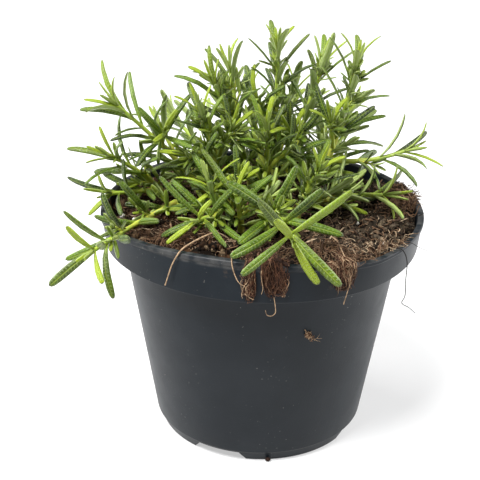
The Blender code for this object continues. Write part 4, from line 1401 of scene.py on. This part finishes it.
def leafShapes():
    # upper side from the left edge to the right, then the underside back
    section = ((-1.0, -0.12), (-0.58, 0.42), (0.0, 0.28), (0.58, 0.42),
               (1.0, -0.12), (0.55, -0.34), (0.0, -0.46), (-0.55, -0.34))
    smallSection = ((-1.0, -0.1), (-0.5, 0.42), (0.0, 0.3), (0.5, 0.42), (1.0, -0.1), (0.0, -0.45))
    stations = (0.0, 0.10, 0.28, 0.55, 0.80, 0.93, 0.98)
    widths = (
        (0.42, 0.52, 0.84, 1.0, 0.94, 0.74, 0.46),
        (0.38, 0.46, 0.74, 0.98, 0.97, 0.78, 0.48),
        (0.44, 0.58, 0.90, 1.0, 0.86, 0.66, 0.40),
    )
    collection = shapeCollection("leaf shapes")
    for number, (row, lean) in enumerate(zip(widths, (0.0, 0.35, -0.3))):
        collection.objects.link(leafShape(f"shape{number}", stations, row, section, lean))
    smallStations, smallWidths = (0.0, 0.25, 0.6, 0.86, 0.96), (0.4, 0.8, 1.0, 0.8, 0.5)
    collection.objects.link(leafShape("shape3", smallStations, smallWidths, smallSection))
    return collection


# A leaf as the tree needs it
def leafPoint(start, tip, face, arch, girth, youth, shape, draw):
    along = tip - start
    return dict(start=start, heading=unit(along), face=face, reach=float(np.linalg.norm(along)),
                arch=arch, girth=girth, youth=youth, shape=shape, tint=draw.random(),
                twist=draw.uniform(-1, 1) * finePlant["twist"])


def smallLeaf(start, axis, heading, length, girth, youth, index, draw):
    tip = start + heading * length
    arch = draw.uniform(0.0, 0.12) * length
    face = unit(axis - heading * float(axis @ heading))
    middle = (start + tip) / 2
    if min(tip[2] - ground(tip), middle[2] - ground(middle)) < 0.8 * mm:
        return []
    start2, end2 = (start + heading * 0.3 * length)[None], tip[None]
    if rodGap(start2, end2, np.array([0.5 * mm]), rods["plant"] != index) < 0.1 * mm:
        return []
    return [leafPoint(start, tip, face, arch, girth, min(max(youth, 0.0), 1.0), 3, draw)]


# A short side shoot in a leaf's axil or at a bare joint, with a few pairs of leaves
def addSpur(points, lines, start, axis, outward, size, index, draw):
    look = finePlant
    heading = unit(axis * draw.uniform(0.75, 1.1) + outward * draw.uniform(0.5, 0.95))
    reach = size * draw.uniform(0.45, 0.65)
    end = start + heading * reach
    if end[2] < ground(end) + 1.5 * mm:
        return
    if rodGap(start[None], end[None], np.array([0.5 * mm]), rods["plant"] != index) < 0.1 * mm:
        return
    bow = unit(axis - heading * float(axis @ heading)) * reach * draw.uniform(0.0, 0.1)
    line = [start + heading * reach * t + bow * 4 * t * (1 - t) for t in (0.0, 0.33, 0.66, 1.0)]
    shade = draw.uniform(0.3, 0.6)
    lines.append([(place, radius * mm, shade + 0.1 * i)
                  for i, (place, radius) in enumerate(zip(line, look["spurRadii"]))])
    side = unit(np.cross(heading, (0.31, 0.95, 0.1)))
    first = draw.uniform(0, 180)
    for k, (where, share, opening) in enumerate(look["spurPairs"]):
        for half in (0, 1):
            angle = math.radians(first + 90 * k + 180 * half + draw.uniform(-14, 14))
            out = side * math.cos(angle) + np.cross(heading, side) * math.sin(angle)
            opened = math.radians(opening + draw.uniform(-10, 10))
            length = size * share * draw.uniform(0.8, 1.15)
            points += smallLeaf(line[0] + (line[-1] - line[0]) * where, heading,
                                heading * math.cos(opened) + out * math.sin(opened), length,
                                look["spurGirth"], shade + 0.12 * k, index, draw)


# Spurs of a whole shoot: one for most leaves, and some low down where leaves have dropped
def addSpurs(points, lines, entry, path, leaves, index, draw):
    look = finePlant
    for leaf in leaves:
        away = math.hypot(leaf["start"][0], leaf["start"][1])
        chance = look["spurChance"] * (1 - min(max((away - 26 * mm) / (20 * mm), 0.0), 0.9))
        if leaf["rank"] and draw.random() < chance:
            size = draw.uniform(*look["spurSizes"]) * mm * (0.6 + 0.4 * (1 - leaf["share"]))
            outward = unit(leaf["tip"] - leaf["start"])
            addSpur(points, lines, leaf["start"] + leaf["axis"] * 0.7 * mm, leaf["axis"], outward,
                    size, index, draw)
    if not entry["root"]:
        return
    along = lengthsAlong(path)
    lowest = min((leaf["share"] for leaf in leaves), default=1.0) * along[-1]
    where = stemRule["rootDepth"] + look["lowestSpur"]
    turn = draw.uniform(0, math.tau)
    while where < lowest - 1 * mm:
        start, axis = placeOn(path, along, where)
        side = unit(np.cross(axis, (0.31, 0.95, 0.1)))
        for half in (0, 1):
            outward = side * math.cos(turn) + np.cross(axis, side) * math.sin(turn)
            turn += math.pi
            addSpur(points, lines, start + outward * 0.6 * mm, axis, outward,
                    draw.uniform(*look["spurSizes"]) * mm, index, draw)
        turn += math.pi / 2
        where += look["lowSpurStep"]


def innerLeaves(path, entry, index, draw):
    tip, axis = path[-1], unit(path[-1] - path[-2])
    turn = entry["turn"]
    # a shoot that opens wide has a short heart
    share = 0.4 if entry["opening"] > 65 else 1.0
    side = unit(np.cross(axis, (0.31, 0.95, 0.1)))
    points = []
    for k, (length, opening) in enumerate(finePlant["innerPairs"]):
        for half in (0, 1):
            angle = math.radians(turn + 90 * (k + 1) + 180 * half + draw.uniform(-15, 15))
            out = side * math.cos(angle) + np.cross(axis, side) * math.sin(angle)
            opened = math.radians(opening * draw.uniform(0.7, 1.3))
            heading = axis * math.cos(opened) + out * math.sin(opened)
            points += smallLeaf(tip - axis * 0.5 * mm + out * 0.2 * mm, axis, heading,
                                length * mm * draw.uniform(0.8, 1.1) * share, 0.55, 0.95, index,
                                draw)
    return points


# The stem's polyline, finer than the solid's, with a swelling where each pair grows
def stemLine(entry, path, leaves):
    along = lengthsAlong(path)
    radii = stemRadii(entry, path) * finePlant["thicken"]
    count = max(int(along[-1] / (2.5 * mm)), 6)
    line = []
    for i in range(count + 1):
        where = along[-1] * i / count
        j = min(max(int(np.searchsorted(along, where)) - 1, 0), len(path) - 2)
        t = (where - along[j]) / (along[j + 1] - along[j])
        p0, p1, p2, p3 = path[max(j - 1, 0)], path[j], path[j + 1], path[min(j + 2, len(path) - 1)]
        point = 0.5 * (2 * p1 + (p2 - p0) * t + (2 * p0 - 5 * p1 + 4 * p2 - p3) * t * t
                       + (3 * p1 - p0 - 3 * p2 + p3) * t ** 3)
        near = min((abs(leaf["share"] * along[-1] - where) for leaf in leaves), default=1.0)
        swell = 1 + finePlant["swell"] * max(0.0, 1 - near / (2.2 * mm))
        line.append((point, float(np.interp(where, along, radii)) * swell, where / along[-1]))
    return line


def plantSource(name, plant):
    draw = random.Random(f"fine {name}")
    index = plant["index"]
    points, lines = [], []
    for entry, path, leaves in zip(plant["shoots"], plant["paths"], plant["leaves"]):
        first = 0.0 if entry["root"] else 0.45
        lines.append([(place, radius, first + (1 - first) * share)
                      for place, radius, share in stemLine(entry, path, leaves)])
        for leaf in leaves:
            youth = max(0.0, leaf["share"] - 0.55) * 1.1 + draw.uniform(-0.1, 0.15)
            youth += 0.35 * (leaf["rank"] == 0)
            points.append(leafPoint(leaf["start"], leaf["tip"], leaf["face"], leaf["arch"],
                                    leaf["girth"] * draw.uniform(0.88, 1.06)
                                    * (0.85 if leaf["rank"] == 0 else 1.0),
                                    min(max(youth, 0.0), 1.0), draw.choice((0, 1, 2)), draw))
        addSpurs(points, lines, entry, path, leaves, index, draw)
        points += innerLeaves(path, entry, index, draw)
    return points, lines


def setAttribute(mesh, name, kind, values):
    layer = mesh.attributes.new(name, kind, "POINT")
    key = "vector" if kind == "FLOAT_VECTOR" else "value"
    layer.data.foreach_set(key, np.array(values).ravel())


def makePlant(name, plant, tree, collection, leafMaterial, stemMaterial):
    points, lines = plantSource(name, plant)
    places, edges, thick, youth, tint = [], [], [], [], []
    for line in lines:
        for i, (place, radius, age) in enumerate(line):
            if i:
                edges.append((len(places) - 1, len(places)))
            places.append(place)
            thick.append(radius)
            youth.append(age)
            tint.append(0.5)
    stemCount = len(places)
    places += [point["start"] for point in points]
    mesh = bpy.data.meshes.new(name)
    mesh.from_pydata([tuple(place) for place in places], edges, [])
    blank = [0.0] * stemCount
    setAttribute(mesh, "isLeaf", "BOOLEAN", [False] * stemCount + [True] * len(points))
    setAttribute(mesh, "thick", "FLOAT", thick + [0.0] * len(points))
    setAttribute(mesh, "youth", "FLOAT", youth + [point["youth"] for point in points])
    setAttribute(mesh, "tint", "FLOAT", tint + [point["tint"] for point in points])
    for label in ("reach", "arch", "girth", "twist"):
        setAttribute(mesh, label, "FLOAT", blank + [point[label] for point in points])
    setAttribute(mesh, "shape", "INT", [0] * stemCount + [point["shape"] for point in points])
    for label in ("start", "heading", "face"):
        rows = [(0.0, 0.0, 0.0)] * stemCount + [tuple(point[label]) for point in points]
        setAttribute(mesh, label, "FLOAT_VECTOR", rows)
    piece = grown(name.replace("stem", "sprig"), makeObject("source", mesh), tree,
                  Shapes=collection, LeafWidth=finePlant["halfWidth"],
                  LeafThickness=finePlant["thickness"], StemSides=finePlant["stemSides"],
                  StemSmoothness=finePlant["stemSmoothness"], LeafMaterial=leafMaterial,
                  StemMaterial=stemMaterial)
    dress(piece, "rosemary", name)
    return len(points)


# Threads: root fibres and hairs as polylines that wander

def threadMesh(name, threads):
    places, edges, thick, tint = [], [], [], []
    for points, radii, shade in threads:
        for i, (place, radius) in enumerate(zip(points, radii)):
            if i:
                edges.append((len(places) - 1, len(places)))
            places.append(tuple(place))
            thick.append(float(radius))
            tint.append(shade)
    mesh = bpy.data.meshes.new(name)
    mesh.from_pydata(places, edges, [])
    setAttribute(mesh, "thick", "FLOAT", thick)
    setAttribute(mesh, "tint", "FLOAT", tint)
    return makeObject(name + " lines", mesh)


def makeThreads(name, threads, tree, material, slotName, nodes=(), sides=5, smoothness=3):
    piece = grown(name, threadMesh(name, threads), tree, Sides=sides, Smoothness=smoothness,
                  Material=material)
    dress(piece, slotName, *nodes)
    return piece


tuftLook = {
    "strandFibres": 14,         # that follow each strand of the solid
    "strandSpread": 0.7 * mm,
    "step": 1.0 * mm,
    "steps": 9,
    "turn": 0.85,               # how sharply a fibre turns at each step
    "thickness": (0.09, 0.22),
    "off": (0.25, 2.0),         # millimetres from the pot
    "crumbSizes": (0.35, 0.85),
}

# Each mat: locks with the fibres in each, crumbs, half its width at the rim and at its foot, how
# far it hangs, where its locks start and how pale its fibres are
tuftMats = {
    "root_tuft_left": dict(locks=5, fibres=13, crumbs=26, wide=(1.2, 2.6, 1.2), hang=11.5,
                           first=(1.5, 7), pale=0.3),
    "root_tuft_middle": dict(locks=15, fibres=13, crumbs=60, wide=(5.0, 4.6, 1.2), hang=11.5,
                             first=(-8, 4), pale=0.12),
    "root_tuft_right": dict(locks=8, fibres=14, crumbs=26, wide=(4.6, 3.6, 1.0), hang=11,
                            first=(-8, 3), pale=0.42),
}


# A place beside the rim: across a tuft, down from the rim's edge or inwards if below zero, and
# off the pot
def besideRim(angle, across, fall, off):
    shape = potShape
    top, rim = shape["height"], shape["rimRadius"]
    if fall < 0:
        inner = min(1.0, max(0.0, (-fall - shape["lipWidth"]) / (5 * mm)))
        radius, height = rim + fall, top + off - inner * soilShape["edgeDrop"]
    else:
        slope = (rim - shape["bandFootRadius"]) / shape["bandHeight"]
        radius, height = rim - slope * fall + off, top - fall + off * max(0.0, 1 - fall / (2 * mm))
    a = math.radians(angle) + across / rim
    return np.array(pressed(radius * math.sin(a), -radius * math.cos(a), height))


# Locks of fibres that wander down through a tuft's mat, and crumbs of peat caught in it
def matThreads(name, tuft, draw):
    look, mat = tuftLook, tuftMats[name]
    hang = mat["hang"] * mm

    def halfWidth(fall):
        return float(np.interp(fall, (0, 0.5 * hang, hang), mat["wide"])) * mm

    threads = []
    for _ in range(mat["locks"]):
        lockFall = draw.uniform(*mat["first"]) * mm
        lockSide = draw.uniform(-1, 1) * halfWidth(lockFall)
        lockLean, lockShade = draw.gauss(0, 0.35), draw.uniform(-0.15, 0.3)
        lockEnd = min(hang * draw.uniform(0.75, 1.0), lockFall + draw.uniform(6, 12) * mm)
        for _ in range(mat["fibres"]):
            fall = lockFall + draw.gauss(0, 1.0) * mm
            across = lockSide + draw.gauss(0, 0.75) * mm
            heading, off = lockLean + draw.gauss(0, 0.6), draw.uniform(*look["off"])
            points = []
            for _ in range(look["steps"]):
                pull = lockLean - 0.12 * across / mm
                heading = 0.7 * heading + 0.3 * pull + draw.uniform(-look["turn"], look["turn"])
                off = min(max(off + draw.uniform(-0.4, 0.4), look["off"][0]), look["off"][1])
                fall += math.cos(heading) * look["step"]
                if fall > lockEnd:              # the ends curl back up
                    fall, heading = lockEnd - draw.uniform(0, 0.5) * mm, math.pi - heading
                limit = halfWidth(fall)
                across += math.sin(heading) * look["step"]
                across -= 0.5 * (across - max(-limit, min(limit, across)))
                points.append(besideRim(tuft["angle"], across, fall, off * mm))
            thick = draw.uniform(*look["thickness"]) * mm
            shade = max(0.0, min(1.0, mat["pale"] + lockShade + draw.uniform(-0.25, 0.5)))
            threads.append((points, np.linspace(thick, thick * 0.5, len(points)), shade))
    for _ in range(mat["crumbs"]):
        fall = draw.uniform(mat["first"][0] * mm, 0.8 * hang)
        across = draw.uniform(-0.8, 0.8) * halfWidth(fall)
        size = draw.uniform(*look["crumbSizes"]) * mm
        points = [besideRim(tuft["angle"], across + step * size, fall + step * size * 0.7, 0.7 * mm)
                  for step in (-1, -0.5, 0.3, 1)]
        threads.append((points, [size * share for share in (0.3, 1.0, 0.9, 0.3)],
                        draw.uniform(0, 0.3)))
    return threads


# Fibres that follow the strands of a tuft's solid
def strandThreads(name, tuft, draw):
    look = tuftLook
    threads = []
    for path, _ in strandsOf(tuft, name):
        for _ in range(look["strandFibres"]):
            first, last = draw.uniform(0.0, 0.5), draw.uniform(0.5, 0.85)
            aside = np.array([draw.gauss(0, 1) for _ in range(3)]) * look["strandSpread"]
            points = []
            for i in range(look["steps"]):
                aside = 0.8 * aside + np.array([draw.gauss(0, 0.35) * mm for _ in range(3)])
                share = first + (last - first) * i / (look["steps"] - 1)
                points.append(alongPath(path, share) + aside)
            thick = draw.uniform(*look["thickness"]) * mm
            shade = max(0.0, min(1.0, tuftMats[name]["pale"] + draw.uniform(-0.3, 0.6)))
            threads.append((points, np.linspace(thick, thick * 0.4, len(points)), shade))
    return threads


def alongPath(path, t):
    along = lengthsAlong(path)
    return placeOn(path, along, max(t, 0.001) * along[-1])[0]


def makeTufts(tree, material):
    for name, tuft in tufts.items():
        draw = random.Random(f"roots {name}")
        threads = matThreads(name, tuft, draw) + strandThreads(name, tuft, draw)
        makeThreads(name.replace("root_tuft", "roots"), threads, tree, material, "dry_root", (name,))


def roundPot(angle, radius, height):
    a = math.radians(angle)
    return np.array(pressed(radius * mm * math.sin(a), -radius * mm * math.cos(a), height * mm))


# Angle round the pot from the front in degrees, radius and height in millimetres
looseThreads = {
    "hair_right_long": dict(thick=0.24, route=((49, 59, 92), (51, 62.5, 94.8), (54, 65.3, 94),
                                               (57, 65.9, 88), (58, 65.4, 80), (58, 65.6, 73),
                                               (57, 65.0, 70), (60, 66.5, 67), (62, 68.5, 64))),
    "hair_right_short": dict(thick=0.18, route=((58, 62.6, 93.5), (60, 65.2, 94.3), (64, 67, 91),
                                                (68, 69, 88))),
    "hair_right_top": dict(thick=0.16, route=((84, 62.5, 94), (86, 65, 94.6), (87, 67, 93.6))),
    "thread_left": dict(thick=0.38, route=((-22, 50, 98.5), (-25, 56, 98.2), (-28, 61, 97),
                                           (-30, 65, 95.2), (-32, 66, 91), (-33, 65.9, 87),
                                           (-33.5, 66, 84))),
    "thread_middle_left": dict(thick=0.25, route=((-11, 61, 96), (-10.5, 65.2, 95), (-9.5, 66.2, 92),
                                                  (-7.5, 66.4, 89), (-5.5, 66.4, 88))),
    "thread_middle": dict(thick=0.2, route=((1, 62, 95.5), (0.5, 65.4, 94.6), (0.2, 66.4, 91),
                                            (0.8, 66.6, 88), (0.4, 66.4, 86))),
    "thread_loop": dict(thick=0.17, route=((4.5, 66, 85), (5, 66, 81.5), (4.8, 65.8, 79.6),
                                           (3.6, 65.6, 78.6), (2.2, 65.8, 79.2), (1.8, 66, 81))),
    "thread_right": dict(thick=0.3, route=((38, 44, 96.5), (35, 50, 97.5), (32, 57, 97), (30, 63, 96.2),
                                           (29.5, 66, 94.5), (30, 66.6, 90), (29, 66.6, 86),
                                           (27.5, 66.4, 81))),
}


def makeLooseThreads(tree, hairMaterial, rootMaterial):
    for name, entry in looseThreads.items():
        points = [roundPot(*stop) for stop in entry["route"]]
        radii = np.linspace(1.0, 0.55, len(points)) * entry["thick"] * mm
        hair = name.startswith("hair")
        makeThreads(name, [(points, radii, 0.2 if hair else 0.9)], tree,
                    hairMaterial if hair else rootMaterial, "dry_root", sides=6, smoothness=6)


# Heaps of curly fibre on the bed: place and turn in millimetres and degrees, half its length and
# width, how high it stands, fibres, and how pale they are
fibreHeaps = {
    "fibre_heap_front": dict(place=(26, -44), turn=-32, half=(12, 4.5), high=3.6, fibres=230, pale=0.45),
    "fibre_heap_rim": dict(place=(45, -33), turn=40, half=(11, 4), high=2.4, fibres=150, pale=0.6),
    "fibre_heap_right": dict(place=(56, 8), turn=80, half=(10, 5), high=5.5, fibres=270, pale=0.35),
    "fibre_heap_left": dict(place=(-36, -32), turn=-42, half=(12, 5), high=2.4, fibres=170, pale=0.28),
    "fibre_heap_back": dict(place=(-50, 8), turn=80, half=(11, 6), high=2.6, fibres=150, pale=0.2),
}

heapLook = {
    "reach": 65.5,              # from the pot's axis in millimetres
    "steps": 8,
    "step": (0.6, 1.3),
    "turn": 0.7,
    "thickness": (0.09, 0.24),
    "crumbShare": 0.12,
    "crumbSizes": (0.4, 0.9),
}


def makeHeaps(tree, material):
    look = heapLook
    for name, heap in fibreHeaps.items():
        draw = random.Random(f"heap {name}")
        a = math.radians(heap["turn"])
        long, wide = heap["half"]
        threads = []
        for _ in range(heap["fibres"]):
            u, v = draw.gauss(0, 0.42), draw.gauss(0, 0.42)
            share = max(0.0, 1 - u * u - v * v)
            lift, heading = draw.uniform(0.2, 1.0) * share * heap["high"], draw.uniform(0, math.tau)
            step, climb = draw.uniform(*look["step"]), draw.uniform(-0.25, 0.25)
            x = heap["place"][0] + u * long * math.cos(a) - v * wide * math.sin(a)
            y = heap["place"][1] + u * long * math.sin(a) + v * wide * math.cos(a)
            crumb = draw.random() < look["crumbShare"]
            count = 4 if crumb else look["steps"]
            points = []
            for _ in range(count):
                heading += draw.uniform(-look["turn"], look["turn"])
                x += math.cos(heading) * step * (0.5 if crumb else 1)
                y += math.sin(heading) * step * (0.5 if crumb else 1)
                lift = max(0.2, lift + climb)
                inside = min(1.0, look["reach"] / math.hypot(x, y))
                spot = (x * inside * mm, y * inside * mm)
                points.append(np.array((*spot, bedHeight(*spot) + lift * mm)))
            if crumb:
                size = draw.uniform(*look["crumbSizes"]) * mm
                radii = [size * part for part in (0.4, 1.0, 0.9, 0.3)]
            else:
                thick = draw.uniform(*look["thickness"]) * mm
                radii = np.linspace(thick, thick * 0.5, count)
            tint = draw.uniform(0, 0.3) if crumb else heap["pale"] + draw.uniform(-0.35, 0.4)
            threads.append((points, radii, max(0.0, min(1.0, tint))))
        makeThreads(name, threads, tree, material, "dry_root")


# Top of the soil, or of the lip near the rim
def bedHeight(x, y):
    share = pressShare(x, y)
    rim = potShape["rimRadius"] - share * rimPress["inAtTop"]
    lift = share * rimPress["lift"]
    if math.hypot(x, y) > rim - potShape["lipWidth"] - 0.5 * mm:
        return potShape["height"] + lift + 0.2 * mm
    return soilHeight(x, y) + soilRelief(x, y) + lift


# A dried crumb of root on the wall with a few long hairs, and a bit of peat at the foot; lengths
# in millimetres
wallCrumb = {
    "angle": 20.5,              # round the pot from the front
    "height": 63,
    "slope": (0.6, -0.8),
    "half": (2.5, 0.3),         # along the slope and across it
    "fibres": 44,
    "hairs": 3,
    "thickness": (0.12, 0.3),
    "foot": (6, 42.6, 1.0),
}


def makeWallCrumb(tree, material):
    look, draw, shape = wallCrumb, random.Random(3), potShape
    climb = look["height"] * mm / (shape["height"] - shape["bandHeight"])
    wall = shape["wallFootRadius"] + climb * (shape["wallTopRadius"] - shape["wallFootRadius"])
    ahead, down = look["slope"]
    threads = []
    for number in range(look["fibres"] + look["hairs"]):
        hair = number >= look["fibres"]
        u = 1.0 if hair else draw.gauss(0, 0.45)
        v = draw.gauss(0, 0.8) * look["half"][1]
        side, rise = u * look["half"][0] * ahead - v * down, u * look["half"][0] * down + v * ahead
        heading = draw.uniform(-0.4, 0.7) if hair else draw.uniform(0, math.tau)
        step, count = (0.55, 7) if hair else (0.22, 6)
        off = draw.uniform(0.15, 1.0)
        points = []
        for _ in range(count):
            heading += draw.uniform(-0.5, 0.4) if hair else draw.uniform(-0.9, 0.9)
            side += math.cos(heading) * step
            rise -= math.sin(heading) * step
            off = 0.85 * off if hair else off
            angle = look["angle"] + math.degrees(side * mm / wall)
            points.append(roundPot(angle, wall / mm + 0.1 + off, look["height"] + rise))
        thick = (0.1 if hair else draw.uniform(*look["thickness"])) * mm
        threads.append((points, np.linspace(thick, thick * 0.5, count),
                        0.9 if hair else draw.uniform(0.5, 1.0)))
    angle, radius, height = look["foot"]
    points = [roundPot(angle + turn, radius, height) for turn in (-1.5, -0.5, 0.5, 1.5)]
    threads.append((points, [0.3 * mm, 0.9 * mm, 0.9 * mm, 0.3 * mm], 0.0))
    makeThreads("dried_root_crumb", threads, tree, material, "dry_root")


def makeGrains(material):
    for number in range(1, len(grains) + 1):
        low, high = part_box(f"perlite_{number}")
        centre, half = (low + high) / 2, (high - low) / 2
        bm = bmesh.new()
        bmesh.ops.create_icosphere(bm, subdivisions=4, radius=1.0)
        for vert in bm.verts:
            spot = vert.co * 1.4 + Vector((number * 3.7, 0, 0))
            lump = 0.86 + 0.2 * noise.noise(spot) - 0.1 * abs(noise.noise(spot * 3.5))
            vert.co = Vector(tuple(centre[i] + vert.co[i] * lump * half[i] for i in range(3))) - potAxis
        mesh = meshFrom(bm, f"perlite_grain_{number}")
        mesh.materials.append(material)
        mesh.shade_smooth()
        dress(makeObject(f"perlite_grain_{number}", mesh), "perlite", f"perlite_{number}")


# Studio

cameraView = {
    "place": (0.0, -449.97 * mm, 287.67 * mm),
    "pitch": 0.4344,
    "yaw": -0.0195,
    "roll": 0.013,
    "lens": 90.9,
    "sensor": 36.0,
}

studio = {
    "sky": (0.95, 0.97, 1.0),
    "skyStrength": 0.12,
    # name, place, size and power of each soft box
    "lamps": (("key", (-0.45, -0.50, 1.35), 0.6, 44.0), ("right", (0.95, 0.35, 0.5), 0.8, 16.0),
              ("left", (-1.0, 0.45, 0.5), 0.8, 15.0)),
    "floor": (0.45, 0.45, 0.45),
    "floorGlow": 0.5,           # keeps the floor pale under the pot
    "floorHalf": 4.0,
}


def aimed(place, target):
    return (Vector(target) - Vector(place)).to_track_quat("-Z", "Y").to_euler()


def addLight(name, place, size, power):
    light = bpy.data.lights.new(name, "AREA")
    light.size = size
    light.energy = power
    lamp = bpy.data.objects.new(name, light)
    bpy.context.scene.collection.objects.link(lamp)
    lamp.location = place
    lamp.rotation_euler = aimed(place, (0, 0, 0.08))


def makeStudio():
    world = bpy.data.worlds.new("studio")
    bpy.context.scene.world = world
    world.use_nodes = True
    sky = world.node_tree.nodes["Background"]
    sky.inputs["Color"].default_value = (*studio["sky"], 1.0)
    sky.inputs["Strength"].default_value = studio["skyStrength"]
    for lamp in studio["lamps"]:
        addLight(*lamp)
    half = studio["floorHalf"]
    mesh = bpy.data.meshes.new("floor")
    mesh.from_pydata([(-half, -half, 0), (half, -half, 0), (half, half, 0), (-half, half, 0)], [],
                     [(0, 1, 2, 3)])
    material, tree, shader = newMaterial("studio_floor", Roughness=0.8)
    shader.inputs["Base Color"].default_value = (*studio["floor"], 1.0)
    shader.inputs["Emission Color"].default_value = (1.0, 1.0, 1.0, 1.0)
    shader.inputs["Emission Strength"].default_value = studio["floorGlow"]
    mesh.materials.append(material)
    makeObject("floor", mesh)
    bpy.context.scene.view_settings.view_transform = "Standard"


def makeCamera():
    view = cameraView
    pitch, yaw, roll = view["pitch"], view["yaw"], view["roll"]
    ahead = Vector((math.sin(yaw) * math.cos(pitch), math.cos(yaw) * math.cos(pitch), -math.sin(pitch)))
    right = ahead.cross(Vector((0, 0, 1))).normalized()
    top = right.cross(ahead)
    rolledRight = right * math.cos(roll) + top * math.sin(roll)
    rolledTop = top * math.cos(roll) - right * math.sin(roll)
    lens = bpy.data.cameras.new("camera")
    lens.lens = view["lens"]
    lens.sensor_width = view["sensor"]
    camera = bpy.data.objects.new("camera", lens)
    bpy.context.scene.collection.objects.link(camera)
    turn = Matrix((rolledRight, rolledTop, -ahead)).transposed().to_4x4()
    camera.matrix_world = Matrix.Translation(Vector(view["place"]) + potAxis) @ turn
    bpy.context.scene.camera = camera


makeCamera()
makeStudio()
print("studio and camera set")

makePot()
print("pot turned")

rootFibre = fibreFinish("root_fibre", (0.022, 0.009, 0.005), (0.12, 0.050, 0.024), (0.50, 0.35, 0.21))
peatFibre = fibreFinish("peat_fibre", (0.030, 0.014, 0.007), (0.19, 0.105, 0.055), (0.56, 0.43, 0.28))
hairFibre = fibreFinish("dark_hair", (0.006, 0.005, 0.004), (0.02, 0.016, 0.014), (0.05, 0.04, 0.035))

makeSoil()
strewSoil(makeScatterTree(), crumbFinish(), peatFibre)
print("soil laid")

layout = growPlants()
rosemaryTree = makeRosemaryTree()
leafCollection = leafShapes()
leafMaterial, stemMaterial = leafFinish(), stemFinish()
leafCount = 0
for plantName, plant in layout.items():
    leafCount += makePlant(plantName, plant, rosemaryTree, leafCollection, leafMaterial, stemMaterial)
closeCollection(leafCollection)
print("plants grown, leaves:", leafCount)

threadTree = makeThreadTree()
makeTufts(threadTree, rootFibre)
makeLooseThreads(threadTree, hairFibre, rootFibre)
makeWallCrumb(threadTree, rootFibre)
makeHeaps(threadTree, peatFibre)
makeGrains(perliteFinish())
print("roots, threads and grains laid")
